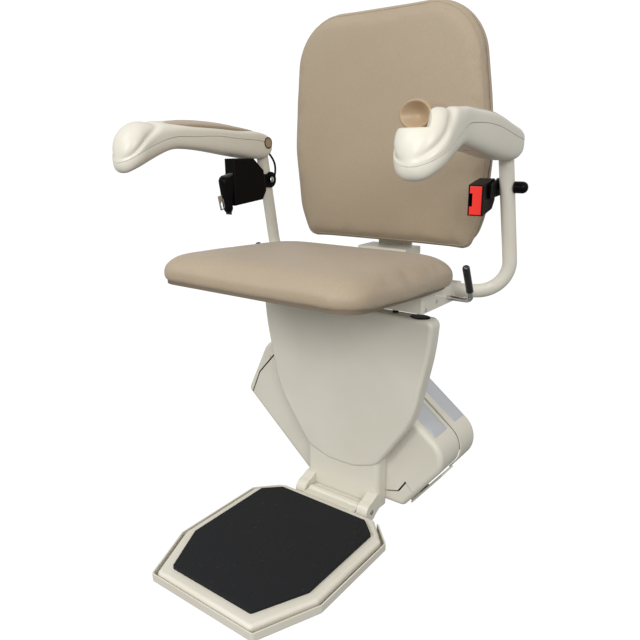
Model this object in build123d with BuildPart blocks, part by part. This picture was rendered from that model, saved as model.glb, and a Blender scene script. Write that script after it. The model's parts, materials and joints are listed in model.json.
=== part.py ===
from build123d import *
import os
from math import cos, radians, sin, tan

# Chair of a stair lift: a carriage that climbs a rail on the stair wall, a pedestal with a folding
# footrest, and a swivelling seat with folding arms, a lap belt and a control rocker.
#
# Frame: the origin is on the centre line of the rail, under the middle of the chair. +Z is up, the
# sitter faces -Y, and +X is the sitter's left, which is the way down the stair.
#
# Sizes inside the file are taken from a datum: x from the middle of the chair, y from a plane just
# behind the pedestal's face, z from the level of the footrest. The planes below put them in the frame.

# ---- driving dimensions ----
RAIL_SLOPE = 37.9  # degrees, the pitch of the stair
RAIL_HEIGHT = 90
RAIL_Y = 137  # rail centre behind the datum
RAIL_Z = 108  # rail centre above the footrest level

WALL = 3  # moulded covers and folded steel alike
FIT = 0.3  # clearance between pieces that don't move on each other
RUNNING = 0.05  # radial clearance of a shaft that turns or slides in its bore

CASE_DEPTH = 80  # front half of the carriage casing, along Y
REAR_DEPTH = 69.5  # rear half, over the rail
CASE_FRONT = 20
CASE_SEAM = CASE_FRONT + CASE_DEPTH
CASE_EDGE = 11  # rounding of the casing's front edge
REAR_STEP = 4  # the rear half stands this much outside the front half
PLATE = 6  # steel back plate of the carriage
END_TRAVEL = 3  # how far an end cover gives way to an obstacle
END_GAP = END_TRAVEL + 0.4

ROLLER_TOP_RADIUS = 18
ROLLER_LOW_RADIUS = 16
ROLLER_WIDTH = 34
STUD_RADIUS = 8

RACK_PITCH_LINE = 49  # below the rail centre
GEAR_MODULE = 4
PINION_TEETH = 12
PINION_WIDTH = 24
WORM_MODULE = 2.5
WHEEL_TEETH = 36
WORM_PITCH_RADIUS = 10
WHEEL_WIDTH = 20
DRIVE_Y = 58.5  # middle of the gearbox
SHAFT_RADIUS = 10
MOTOR_RADIUS = 28
MOTOR_LENGTH = 90
BATTERY = (151, 65, 94)  # sealed lead battery, long side, thickness, height

SHIELD_FRONT = -16
SHIELD_DEPTH = 31
SHIELD_TOP = 400
SHIELD_HALF = 199  # half width at the top
PEDESTAL_HALF = 90
PEDESTAL_DEPTH = 32.2
POST_WIDTH = 100
POST_DEPTH = 26
HEAD_TOP = 386
SWIVEL_Y = 18
SPINDLE_RADIUS = 15
DISC_RADIUS = 60
DISC_BOTTOM = 403
DISC = 6
LOCK_CIRCLE = 50  # radius of the ring of locking holes
PLUNGER_RADIUS = 5

HINGE_Y = -34  # footrest hinge
HINGE_Z = -12
HINGE_PIN_RADIUS = 5
EAR_RADIUS = 20
EAR_IN = 66
TREAD_FRONT = -411
TREAD_BACK = -60
TREAD_HALF = 158
TREAD_THICK = 12
MAT_THICK = 7
MAT_TOP = 2
TRAY_HALF = 167
TRAY_HEIGHT = 16

FRAME_HALF = 193
FRAME_FRONT = -45
FRAME_BACK = 112
FRAME_BOTTOM = 419
FRAME_TOP = 450
TUBE_RADIUS = 12.7
TUBE_WALL = 2.5
TUBE_BEND = 58
ARM_X = 282  # arm tube at its lower bend

SEAT_HINGE_Y = 80
SEAT_HINGE_Z = 452
SEAT_FOOT_Y = 72  # where the underside of the seat stands 2 mm above the hinge line
SEAT_TILT = 2.5  # degrees, front edge up
SEAT_HALF = 222
SEAT_FRONT = -290
SEAT_BACK = 87
BOARD = 12
CUSHION = 52  # cushion and board together
BOARD_INSET = 10

BACK_TILT = 2
BACK_FRONT_Y = 127
BACK_FOOT_Z = 505
BACK_TOP_Z = 947
BACK_HALF = 219
BACK_CUSHION = 47
BACK_BOARD = 15

ARM_PIVOT_Y = 73
ARM_PIVOT_Z = 706
ARM_IN = 250
ARM_OUT = 302
ARM_WALL = 4
PIVOT_RADIUS = 11
NOSE_X = 290
NOSE_Y = -262
NOSE_RADIUS = 38
ROCKER_X = 268
ROCKER_Z = 736
ROCKER_RADIUS = 20

BELT_Y = 90  # belt anchor bolts
BELT_Z = 628
BELT_BOLT_RADIUS = 5
CABLE_RADIUS = 2.35

os.makedirs("parts", exist_ok=True)


# ---- planes and small helpers ----
def level(z):
    """A level plane at height z, sketched in x and y."""
    return Plane(origin=(0, -RAIL_Y, z - RAIL_Z))


def across(y):
    """An upright plane facing the sitter's feet, sketched in x and z; solids grow forwards."""
    return Plane(origin=(0, y - RAIL_Y, -RAIL_Z), x_dir=(1, 0, 0), z_dir=(0, -1, 0))


def along(x):
    """An upright plane square to X, sketched in y and z; solids grow towards +X."""
    return Plane(origin=(x, -RAIL_Y, -RAIL_Z), x_dir=(0, 1, 0), z_dir=(1, 0, 0))


def slope(y):
    """An upright plane turned with the rail, sketched in u down the rail and v square to it."""
    down = (cos(radians(RAIL_SLOPE)), 0, -sin(radians(RAIL_SLOPE)))
    return Plane(origin=(0, y - RAIL_Y, 0), x_dir=down, z_dir=(0, -1, 0))


def end_on(u):
    """A plane square to the rail, sketched in y and v; solids grow down the rail."""
    turn = radians(RAIL_SLOPE)
    return Plane(
        origin=(u * cos(turn), -RAIL_Y, -u * sin(turn)),
        x_dir=(0, 1, 0),
        z_dir=(cos(turn), 0, -sin(turn)),
    )


def point(x, y, z):
    """A point given from the datum."""
    return (x, y - RAIL_Y, z - RAIL_Z)


def on_slope(u, v):
    """A rail point as x and z from the datum."""
    turn = radians(RAIL_SLOPE)
    return (u * cos(turn) + v * sin(turn), RAIL_Z - u * sin(turn) + v * cos(turn))


def bar(plane, low, high, depth, mode=Mode.ADD, corner=0):
    """A block from corner low to corner high of the plane, as deep as asked."""
    with BuildSketch(plane) as face:
        with Locations(((low[0] + high[0]) / 2, (low[1] + high[1]) / 2)):
            Rectangle(high[0] - low[0], high[1] - low[1])
        if corner:
            fillet(face.vertices(), corner)
    extrude(face.sketch, amount=depth, mode=mode)


def rod(plane, centre, radius, depth, mode=Mode.ADD):
    """A round bar that stands on the plane."""
    with BuildSketch(plane) as face:
        with Locations(centre):
            Circle(radius)
    extrude(face.sketch, amount=depth, mode=mode)


def slab(plane, corners, depth, mode=Mode.ADD):
    """A straight-sided block with the given corners."""
    with BuildSketch(plane) as face:
        with BuildLine():
            Polyline(*corners, close=True)
        make_face()
    extrude(face.sketch, amount=depth, mode=mode)


def rounded(plane, corners, radii, inset=0):
    """A closed outline with rounded corners, drawn smaller all round by inset."""
    with BuildSketch(plane) as face:
        with BuildLine():
            FilletPolyline(*corners, radius=radii, close=True)
        make_face()
        if inset:
            offset(amount=-inset)
    return face.sketch


def block(face, depth, edge, end):
    """A face carried by depth, with the edge of its far side rounded; end picks that side along Y."""
    with BuildPart() as solid:
        extrude(face, amount=depth)
        fillet(solid.faces().filter_by(Axis.Y).sort_by(Axis.Y)[end].edges(), edge)
    return solid.part


def finish(piece, name):
    """Name a finished piece and write it."""
    piece.part.label = name
    export_step(piece.part, f"parts/{name}.step")


# ---- carriage casing ----
CASE_CORNERS = [
    (-106, -12),
    (130, -12),
    on_slope(176, 151),
    on_slope(-94, 151),
    (-224, 285),
    (-291, 149),
]
CASE_RADII = [13, 13, 50, 50, 55, 13]
case_face = rounded(across(CASE_SEAM), CASE_CORNERS, CASE_RADII)
case_inside = rounded(across(CASE_SEAM), CASE_CORNERS, CASE_RADII, WALL)
plate_face = rounded(across(CASE_SEAM), CASE_CORNERS, CASE_RADII, WALL + END_TRAVEL + 1.5)
case_solid = block(case_face, CASE_DEPTH, CASE_EDGE, 0)
case_hollow = block(case_inside, CASE_DEPTH - WALL, CASE_EDGE - WALL, 0)

# The end covers take over beyond these lines; the far corners lie outside the casing.
UPPER_END = [(-156.7, 300), (-250, 198), (-279, 132), (-284, 120), (-340, 120), (-340, 320)]
LOWER_END = [
    (60, -40),
    (60, 13),
    (91, 14),
    (118, 22),
    (134, 46),
    (142, 36),
    (150, 30),
    (157.3, 23.6),
    (187, -2),
    (187, -40),
]
# room for the tip of the lower end cover's lip to move
LIP_TIP_WAY = [(132, 43), (133.4, 47.2), (135.8, 47.2), (138.6, 43), (136, 41)]


def shifted(corners, move):
    """Corners moved down the rail."""
    turn = radians(RAIL_SLOPE)
    return [(x + move * cos(turn), z - move * sin(turn)) for x, z in corners]


PLATE_FRONT = CASE_SEAM - PLATE
STANDOFFS = [(-38, 165), (38, 165), (-38, 240), (38, 240)]
STANDOFF_RADIUS = 10
BOSSES = [(-190, 34), (-90, 50), (100, -50), (164, 60)]
BOSS_RADIUS = 7
BOSS_SCREW_RADIUS = 2.5
PEG_RADIUS = 4
UPPER_PEG_V = -60
LOWER_PEG_V = 8
PEG_Y = 66

with BuildPart() as front_cover:
    add(case_solid)
    add(case_hollow, mode=Mode.SUBTRACT)
    for u, v in BOSSES:
        rod(slope(PLATE_FRONT), (u, v), BOSS_RADIUS, PLATE_FRONT - CASE_FRONT - WALL)
        rod(slope(PLATE_FRONT), (u, v), BOSS_SCREW_RADIUS + 0.1, 20, Mode.SUBTRACT)
    slab(across(CASE_SEAM + 1), UPPER_END, CASE_DEPTH + 2, Mode.SUBTRACT)
    slab(across(CASE_SEAM + 1), LOWER_END, CASE_DEPTH + 2, Mode.SUBTRACT)
    for aside in (0, 0.8):
        clear_of_lip = [(x + aside, z + 0.8) for x, z in shifted(LOWER_END, END_GAP)]
        slab(across(CASE_SEAM + 1), clear_of_lip, CASE_DEPTH + 2, Mode.SUBTRACT)
    slab(across(CASE_SEAM + 1), LIP_TIP_WAY, CASE_DEPTH + 2, Mode.SUBTRACT)
    for x, z in STANDOFFS:
        rod(across(CASE_FRONT + WALL + 1), (x, z), STANDOFF_RADIUS + FIT, WALL + 2, Mode.SUBTRACT)
finish(front_cover, "front_cover")

SCREW_MARK = (-220, 244)
with BuildPart() as upper_end_cover:
    add(case_solid)
    add(case_hollow, mode=Mode.SUBTRACT)
    slab(across(CASE_SEAM + 1), shifted(UPPER_END, -END_GAP), CASE_DEPTH + 2, Mode.INTERSECT)
    rod(end_on(-272), (PEG_Y, UPPER_PEG_V), PEG_RADIUS, 35)
    rod(across(CASE_FRONT + 1), SCREW_MARK, 4, 2.6)
finish(upper_end_cover, "upper_end_cover")

END_FACE = 176  # lower end of the casing, down the rail from the middle
with BuildPart() as lower_end_cover:
    add(case_solid)
    add(case_hollow, mode=Mode.SUBTRACT)
    slab(across(CASE_SEAM + 1), shifted(LOWER_END, END_GAP), CASE_DEPTH + 2, Mode.INTERSECT)
    rod(end_on(END_FACE - 1), (PEG_Y, LOWER_PEG_V), PEG_RADIUS, -18)
    bar(slope(90), (END_FACE - WALL + 1, -10), (END_FACE + END_GAP + 4, 20), 40)
    bar(slope(95), (END_FACE + END_GAP, -10), (END_FACE + END_GAP + 4, 95), 50)
finish(lower_end_cover, "lower_end_cover")

rear_face = rounded(across(CASE_SEAM + 0.5), CASE_CORNERS, CASE_RADII, -REAR_STEP)
rear_inside = rounded(across(CASE_SEAM + 0.5), CASE_CORNERS, CASE_RADII, WALL - REAR_STEP)
REAR_CUT_V = 83  # the rear half stops above the rollers
with BuildPart() as rear_cover:
    add(block(rear_face, -REAR_DEPTH, CASE_EDGE, -1))
    add(block(rear_inside, WALL - REAR_DEPTH, CASE_EDGE - WALL, -1), mode=Mode.SUBTRACT)
    for u, v in [(-120, 105), (0, 120), (120, 110)]:
        rod(slope(CASE_SEAM + REAR_DEPTH - 1), (u, v), 6, REAR_DEPTH - 1)
    bar(slope(CASE_SEAM + REAR_DEPTH + 2), (-400, -400), (400, REAR_CUT_V), 90, Mode.SUBTRACT)
finish(rear_cover, "rear_cover")

# ---- chassis, rollers and drive ----
TOP_V = RAIL_HEIGHT / 2 + ROLLER_TOP_RADIUS
LOW_V = -RAIL_HEIGHT / 2 - ROLLER_LOW_RADIUS
ROLLERS = [
    (-164, TOP_V, ROLLER_TOP_RADIUS),
    (126, TOP_V, ROLLER_TOP_RADIUS),
    (-110, LOW_V, ROLLER_LOW_RADIUS),
    (78, LOW_V, ROLLER_LOW_RADIUS),
]
ROLLER_FRONT = RAIL_Y - ROLLER_WIDTH / 2
ROLLER_BACK = RAIL_Y + ROLLER_WIDTH / 2
PINION_PITCH = GEAR_MODULE * PINION_TEETH / 2
PINION_V = -RACK_PITCH_LINE - PINION_PITCH
WHEEL_PITCH = WORM_MODULE * WHEEL_TEETH / 2
WORM_V = PINION_V + WHEEL_PITCH + WORM_PITCH_RADIUS

with BuildPart() as chassis_frame:
    extrude(plate_face, amount=PLATE)
    for u, v, radius in ROLLERS:
        rod(slope(ROLLER_FRONT - 0.5), (u, v), STUD_RADIUS + 4, ROLLER_FRONT - 0.5 - CASE_SEAM)
        rod(slope(ROLLER_BACK + 4), (u, v), STUD_RADIUS, ROLLER_BACK + 4 - CASE_SEAM)
        rod(slope(ROLLER_BACK + 4), (u, v), STUD_RADIUS + 4, 3.5)
    bar(slope(PLATE_FRONT), (-247, UPPER_PEG_V - 9), (-239, UPPER_PEG_V + 9), PLATE_FRONT - PEG_Y + 9)
    rod(end_on(-248), (PEG_Y, UPPER_PEG_V), PEG_RADIUS + RUNNING, 10, Mode.SUBTRACT)
    bar(slope(PLATE_FRONT), (158, LOWER_PEG_V - 9), (166, LOWER_PEG_V + 9), PLATE_FRONT - PEG_Y + 9)
    rod(end_on(157), (PEG_Y, LOWER_PEG_V), PEG_RADIUS + RUNNING, 10, Mode.SUBTRACT)
    rod(slope(CASE_SEAM + 1), (0, PINION_V), SHAFT_RADIUS + RUNNING, PLATE + 2, Mode.SUBTRACT)
    for u, v in BOSSES:
        rod(slope(CASE_SEAM + 1), (u, v), BOSS_SCREW_RADIUS + 0.3, PLATE + 2, Mode.SUBTRACT)
finish(chassis_frame, "chassis_frame")

with BuildPart() as cover_screws:
    for u, v in BOSSES:
        rod(slope(CASE_SEAM + 3), (u, v), BOSS_SCREW_RADIUS * 2, 3)
        rod(slope(CASE_SEAM + 1), (u, v), BOSS_SCREW_RADIUS, PLATE + 16)
finish(cover_screws, "cover_screws")

for number, (u, v, radius) in enumerate(ROLLERS, 1):
    with BuildPart() as rail_roller:
        rod(slope(ROLLER_BACK), (u, v), radius, ROLLER_WIDTH)
        chamfer(rail_roller.edges().filter_by(GeomType.CIRCLE), 1.5)
        rod(slope(ROLLER_BACK), (u, v), STUD_RADIUS + RUNNING, ROLLER_WIDTH, Mode.SUBTRACT)
    finish(rail_roller, f"rail_roller_{number}")

GEARBOX_FRONT = DRIVE_Y - 28
GEARBOX_WALL = 4.5
GEARBOX_RADIUS = WHEEL_PITCH + WORM_MODULE + GEARBOX_WALL + 0.5
GEARBOX_TOP = WORM_V + WORM_PITCH_RADIUS + WORM_MODULE + GEARBOX_WALL + 1
with BuildPart() as gearbox_case:
    rod(slope(PLATE_FRONT), (0, PINION_V), GEARBOX_RADIUS, PLATE_FRONT - GEARBOX_FRONT)
    bar(
        slope(PLATE_FRONT),
        (-GEARBOX_RADIUS, PINION_V),
        (GEARBOX_RADIUS, GEARBOX_TOP),
        PLATE_FRONT - GEARBOX_FRONT,
    )
    hollow_depth = PLATE_FRONT - GEARBOX_FRONT - 2 * GEARBOX_WALL
    hollow_radius = GEARBOX_RADIUS - GEARBOX_WALL
    rod(slope(PLATE_FRONT - GEARBOX_WALL), (0, PINION_V), hollow_radius, hollow_depth, Mode.SUBTRACT)
    bar(
        slope(PLATE_FRONT - GEARBOX_WALL),
        (-hollow_radius, PINION_V),
        (hollow_radius, GEARBOX_TOP - GEARBOX_WALL),
        hollow_depth,
        Mode.SUBTRACT,
    )
    rod(slope(PLATE_FRONT + 1), (0, PINION_V), SHAFT_RADIUS + RUNNING, 8, Mode.SUBTRACT)
    rod(end_on(-GEARBOX_RADIUS - 1), (DRIVE_Y, WORM_V), 6 + RUNNING, 8, Mode.SUBTRACT)
finish(gearbox_case, "gearbox_case")

with BuildPart() as worm_wheel:
    rod(slope(DRIVE_Y + WHEEL_WIDTH / 2), (0, PINION_V), WHEEL_PITCH + WORM_MODULE, WHEEL_WIDTH)
    with BuildSketch(Plane(slope(DRIVE_Y).origin, x_dir=(0, 1, 0), z_dir=slope(DRIVE_Y).x_dir)) as throat:
        with Locations((0, WORM_V)):
            Circle(WORM_PITCH_RADIUS + WORM_MODULE + 0.5)
    centre = slope(DRIVE_Y).from_local_coords((0, PINION_V, 0))
    revolve(throat.sketch, axis=Axis(centre, (0, 1, 0)), mode=Mode.SUBTRACT)
    with BuildSketch(slope(DRIVE_Y + WHEEL_WIDTH / 2)) as gaps:
        with Locations((0, PINION_V)):
            with PolarLocations(WHEEL_PITCH + WORM_MODULE - 2.5, WHEEL_TEETH):
                Rectangle(5.4, 3.4)
    extrude(gaps.sketch, amount=WHEEL_WIDTH, mode=Mode.SUBTRACT)
    rod(slope(DRIVE_Y + WHEEL_WIDTH / 2), (0, PINION_V), SHAFT_RADIUS, WHEEL_WIDTH, Mode.SUBTRACT)
finish(worm_wheel, "worm_wheel")

PINION_TIP = PINION_PITCH + GEAR_MODULE
PINION_ROOT = PINION_PITCH - 1.25 * GEAR_MODULE
with BuildPart() as drive_pinion:
    with BuildSketch(slope(RAIL_Y + PINION_WIDTH / 2)) as teeth:
        with Locations((0, PINION_V)):
            Circle(PINION_ROOT)
            with PolarLocations(PINION_ROOT - 1, PINION_TEETH):
                with Locations(((PINION_TIP - PINION_ROOT + 1) / 2, 0)):
                    Trapezoid(9, PINION_TIP - PINION_ROOT + 1, 70, rotation=-90)
    extrude(teeth.sketch, amount=PINION_WIDTH)
    rod(slope(RAIL_Y), (0, PINION_V), SHAFT_RADIUS, RAIL_Y - DRIVE_Y + WHEEL_WIDTH / 2 + 4)
finish(drive_pinion, "drive_pinion")

with BuildPart() as motor_worm:
    rod(end_on(-GEARBOX_RADIUS - 20), (DRIVE_Y, WORM_V), 6, GEARBOX_RADIUS + 20 + 40)
    rod(end_on(-38), (DRIVE_Y, WORM_V), WORM_PITCH_RADIUS - WORM_MODULE - 0.5, 76)
    for turn in range(9):
        thread = -34 + turn * WORM_MODULE * 3.1416
        rod(end_on(thread), (DRIVE_Y, WORM_V), WORM_PITCH_RADIUS + WORM_MODULE, 3.6)
finish(motor_worm, "motor_worm")

with BuildPart() as motor_case:
    rod(end_on(-GEARBOX_RADIUS), (DRIVE_Y, WORM_V), MOTOR_RADIUS, -MOTOR_LENGTH)
    rod(end_on(-GEARBOX_RADIUS), (DRIVE_Y, WORM_V), MOTOR_RADIUS - 4, -MOTOR_LENGTH + 6, Mode.SUBTRACT)
    rod(end_on(-GEARBOX_RADIUS - 24), (DRIVE_Y, WORM_V), MOTOR_RADIUS - 4, -8)
    rod(end_on(-GEARBOX_RADIUS - 21), (DRIVE_Y, WORM_V), 6 + RUNNING, -14, Mode.SUBTRACT)
finish(motor_case, "motor_case")

LOW_BATTERY = (-226, -142)
END_BATTERY = (58, -18)
with BuildPart() as batteries:
    bar(
        slope(PLATE_FRONT),
        LOW_BATTERY,
        (LOW_BATTERY[0] + BATTERY[0], LOW_BATTERY[1] + BATTERY[2]),
        BATTERY[1],
        corner=2,
    )
    bar(
        slope(PLATE_FRONT),
        END_BATTERY,
        (END_BATTERY[0] + BATTERY[2], END_BATTERY[1] + BATTERY[0]),
        BATTERY[1],
        corner=2,
    )
finish(batteries, "batteries")

BOARD_Y = PLATE_FRONT - 5
with BuildPart() as control_board:
    bar(slope(BOARD_Y), (10, 8), (54, 128), 1.8)
    for u, v in [(15, 14), (49, 14), (15, 122), (49, 122)]:
        rod(slope(PLATE_FRONT), (u, v), 3, 5.5)
    for v in (24, 50, 76):
        bar(slope(BOARD_Y - 1.5), (16, v), (34, v + 16), 16)
    for v in (30, 58, 86, 104):
        rod(slope(BOARD_Y - 1.5), (44, v), 6, 20)
finish(control_board, "control_board")

# ---- pedestal ----
PEDESTAL_FRONT = SHIELD_FRONT + WALL + FIT
PEDESTAL_BACK = PEDESTAL_FRONT + PEDESTAL_DEPTH
PEDESTAL_BOTTOM = -18
PEDESTAL_TOP = 105
PEDESTAL_EDGE = 12
with BuildPart() as pedestal_cover:
    bar(
        level(PEDESTAL_BOTTOM),
        (-PEDESTAL_HALF, PEDESTAL_FRONT),
        (PEDESTAL_HALF, PEDESTAL_BACK),
        PEDESTAL_TOP - PEDESTAL_BOTTOM,
    )
    fillet(pedestal_cover.edges().filter_by(Axis.Z).group_by(Axis.Y)[0], PEDESTAL_EDGE)
    for x in (-PEDESTAL_HALF, EAR_IN):
        rod(along(x), (HINGE_Y, HINGE_Z), EAR_RADIUS, PEDESTAL_HALF - EAR_IN)
        slab(
            along(x),
            [(HINGE_Y, 8), (-14, 16), (-5, 16), (-5, -18), (HINGE_Y, -32)],
            PEDESTAL_HALF - EAR_IN,
        )
    with BuildSketch(level(PEDESTAL_BOTTOM)) as inside:
        with BuildLine():
            FilletPolyline(
                (-PEDESTAL_HALF + WALL, PEDESTAL_FRONT + WALL),
                (PEDESTAL_HALF - WALL, PEDESTAL_FRONT + WALL),
                (PEDESTAL_HALF - WALL, PEDESTAL_BACK + 5),
                (-PEDESTAL_HALF + WALL, PEDESTAL_BACK + 5),
                radius=[PEDESTAL_EDGE - WALL, PEDESTAL_EDGE - WALL, 1, 1],
                close=True,
            )
        make_face()
    extrude(inside.sketch, amount=PEDESTAL_TOP - PEDESTAL_BOTTOM, mode=Mode.SUBTRACT)
    rod(along(-100), (HINGE_Y, HINGE_Z), HINGE_PIN_RADIUS + RUNNING, 200, Mode.SUBTRACT)
finish(pedestal_cover, "pedestal_cover")

POST_FRONT = -10
HEAD_BOTTOM = 300
with BuildPart() as pedestal_post:
    bar(
        level(-10),
        (-POST_WIDTH / 2, POST_FRONT + 0.6),
        (POST_WIDTH / 2, POST_FRONT + POST_DEPTH),
        312,
        corner=4,
    )
    bar(
        level(-10),
        (-POST_WIDTH / 2 + WALL, POST_FRONT + 0.6 + WALL),
        (POST_WIDTH / 2 - WALL, POST_FRONT + POST_DEPTH - WALL),
        306,
        Mode.SUBTRACT,
    )
    bar(level(HEAD_BOTTOM), (-45, POST_FRONT + 0.6), (45, POST_FRONT + 56), HEAD_TOP - HEAD_BOTTOM, corner=6)
    rod(level(HEAD_TOP - 1), (0, SWIVEL_Y), 22, DISC_BOTTOM - HEAD_TOP + 1)
    rod(level(DISC_BOTTOM), (0, SWIVEL_Y), DISC_RADIUS, DISC)
    with BuildSketch(level(DISC_BOTTOM - 1)) as lock_holes:
        with Locations((0, SWIVEL_Y)):
            with PolarLocations(LOCK_CIRCLE, 5, start_angle=0, angular_range=180):
                Circle(PLUNGER_RADIUS + FIT)
    extrude(lock_holes.sketch, amount=DISC + 2, mode=Mode.SUBTRACT)
    rod(level(330), (0, SWIVEL_Y), SPINDLE_RADIUS + RUNNING, 100, Mode.SUBTRACT)
    for x, z in STANDOFFS:
        rod(across(PLATE_FRONT), (x, z), STANDOFF_RADIUS, PLATE_FRONT - POST_FRONT - POST_DEPTH + 1)
finish(pedestal_post, "pedestal_post")

DISC_TOP = DISC_BOTTOM + DISC
HUB_BOTTOM = DISC_TOP + 3
with BuildPart() as swivel_spindle:
    rod(level(330), (0, SWIVEL_Y), SPINDLE_RADIUS, 116)
    rod(level(DISC_TOP), (0, SWIVEL_Y), 24, HUB_BOTTOM - DISC_TOP - FIT)
finish(swivel_spindle, "swivel_spindle")

with BuildPart() as footrest_pin:
    rod(along(-91.5), (HINGE_Y, HINGE_Z), HINGE_PIN_RADIUS, 183)
    chamfer(footrest_pin.edges(), 0.8)
finish(footrest_pin, "footrest_pin")

# The shield's outline: wide at the top and drawn in to a rounded foot.
SHIELD_FOOT = 62
SHIELD_SIDE = [(SHIELD_HALF, SHIELD_TOP), (194, 338), (163, 193), (86, 80), (32, SHIELD_FOOT)]
SHIELD_BENDS = [14, 500, 200, 45, 90]
shield_corners = SHIELD_SIDE + [(-x, z) for x, z in reversed(SHIELD_SIDE)]
shield_radii = SHIELD_BENDS + SHIELD_BENDS[::-1]
shield_back = across(SHIELD_FRONT + SHIELD_DEPTH)

CAP_X = 166
CAP_LONG = 19
CAP_WIDE = 14
with BuildPart() as shield_cover:
    add(block(rounded(shield_back, shield_corners, shield_radii), SHIELD_DEPTH, 8, 0))
    inner = rounded(shield_back, shield_corners, shield_radii, WALL)
    add(block(inner, SHIELD_DEPTH - WALL, 5, 0), mode=Mode.SUBTRACT)
    bar(level(SHIELD_TOP - 12), (-23, -6), (23, SHIELD_FRONT + SHIELD_DEPTH + 1), 14, Mode.SUBTRACT)
    bar(
        across(SHIELD_FRONT + SHIELD_DEPTH + 1),
        (-PEDESTAL_HALF - FIT, 0),
        (PEDESTAL_HALF + FIT, PEDESTAL_TOP + FIT),
        SHIELD_DEPTH + 1 - WALL,
        Mode.SUBTRACT,
    )
finish(shield_cover, "shield_cover")

with BuildPart() as post_caps:
    for x in (-CAP_X, CAP_X):
        with BuildSketch(level(SHIELD_TOP)) as cap:
            with Locations((x, 0)):
                Ellipse(CAP_LONG, CAP_WIDE)
        extrude(cap.sketch, amount=2)
    fillet(post_caps.edges().group_by(Axis.Z)[-1], 1.2)
finish(post_caps, "post_caps")

with BuildPart() as swivel_stop:
    rod(level(SHIELD_TOP), (111.5, 6), 5.5, 4)
    rod(level(SHIELD_TOP + 4), (111.5, 6), 3.5, 5)
    rod(level(SHIELD_TOP + 9), (111.5, 6), 5.5, 5)
finish(swivel_stop, "swivel_stop")

# ---- footrest ----
HINGE_REACH = 18
ARM_HALF = 64
TREAD_TOP = MAT_TOP - MAT_THICK
SKIN = 4
with BuildPart() as footrest_arm:
    slab(
        along(-ARM_HALF),
        [
            (HINGE_Y + HINGE_REACH, -6),
            (TREAD_BACK + FIT, -6),
            (TREAD_BACK + FIT, TREAD_TOP - SKIN),
            (TREAD_FRONT + 26, TREAD_TOP - SKIN),
            (TREAD_FRONT + 26, TREAD_TOP - SKIN - 4),
            (HINGE_Y - 12, TREAD_TOP - SKIN - 4),
            (HINGE_Y + HINGE_REACH, HINGE_Z),
        ],
        2 * ARM_HALF,
    )
    rod(along(-ARM_HALF), (HINGE_Y, HINGE_Z), 11, 2 * ARM_HALF)
    rod(along(-ARM_HALF), (HINGE_Y, HINGE_Z), HINGE_PIN_RADIUS + RUNNING, 2 * ARM_HALF, Mode.SUBTRACT)
finish(footrest_arm, "footrest_arm")

TREAD_CORNERS = [
    (-113, TREAD_BACK),
    (-TREAD_HALF, -110),
    (-TREAD_HALF, -302),
    (-109, TREAD_FRONT),
    (109, TREAD_FRONT),
    (TREAD_HALF, -302),
    (TREAD_HALF, -110),
    (113, TREAD_BACK),
]
with BuildPart() as footrest_plate:
    extrude(rounded(level(TREAD_TOP - TREAD_THICK), TREAD_CORNERS, 9), amount=TREAD_THICK)
    fillet(footrest_plate.faces().sort_by(Axis.Z)[-1].edges(), 7)
    extrude(
        rounded(level(TREAD_TOP - TREAD_THICK), TREAD_CORNERS, 9, SKIN),
        amount=TREAD_THICK - SKIN,
        mode=Mode.SUBTRACT,
    )
    bar(
        level(TREAD_TOP - TREAD_THICK - 1),
        (-ARM_HALF - 1, TREAD_BACK - 9),
        (ARM_HALF + 1, TREAD_BACK + 2),
        TREAD_THICK + 1 - SKIN,
        Mode.SUBTRACT,
    )
finish(footrest_plate, "footrest_plate")

MAT_CORNERS = [
    (-104, -80),
    (-137, -111),
    (-137, -298),
    (-92, -390),
    (92, -390),
    (137, -298),
    (137, -111),
    (104, -80),
]
with BuildPart() as tread_mat:
    extrude(rounded(level(TREAD_TOP), MAT_CORNERS, 6), amount=MAT_THICK)
    fillet(tread_mat.faces().sort_by(Axis.Z)[-1].edges(), 2)
finish(tread_mat, "tread_mat")

TRAY_TOP = -10
TRAY_WALL = 2.5
TRAY_CORNERS = [
    (-124, TREAD_BACK - 2),
    (-TRAY_HALF, -106),
    (-TRAY_HALF, -304),
    (-118, TREAD_FRONT - 5),
    (118, TREAD_FRONT - 5),
    (TRAY_HALF, -304),
    (TRAY_HALF, -106),
    (124, TREAD_BACK - 2),
]
with BuildPart() as sensor_tray:
    extrude(rounded(level(TRAY_TOP - TRAY_HEIGHT), TRAY_CORNERS, 8), amount=TRAY_HEIGHT)
    fillet(sensor_tray.faces().sort_by(Axis.Z)[0].edges(), 3)
    extrude(
        rounded(level(TRAY_TOP - TRAY_HEIGHT + 2), TRAY_CORNERS, 8, TRAY_WALL),
        amount=TRAY_HEIGHT,
        mode=Mode.SUBTRACT,
    )
    bar(level(TRAY_TOP - TRAY_HEIGHT - 1), (-121, TREAD_BACK - 8), (121, TREAD_BACK + 2), 20, Mode.SUBTRACT)
finish(sensor_tray, "sensor_tray")

TRAY_FLOOR = TRAY_TOP - TRAY_HEIGHT + 2
SPRING_RADIUS = 5
with BuildPart() as tray_springs:
    for x in (-110, 110):
        for y in (-130, -330):
            for ring in range(5):
                rod(level(TRAY_FLOOR + 3 * ring), (x, y), SPRING_RADIUS, 1.6)
                rod(level(TRAY_FLOOR + 3 * ring), (x, y), SPRING_RADIUS - 1.6, 3)
finish(tray_springs, "tray_springs")

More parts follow.
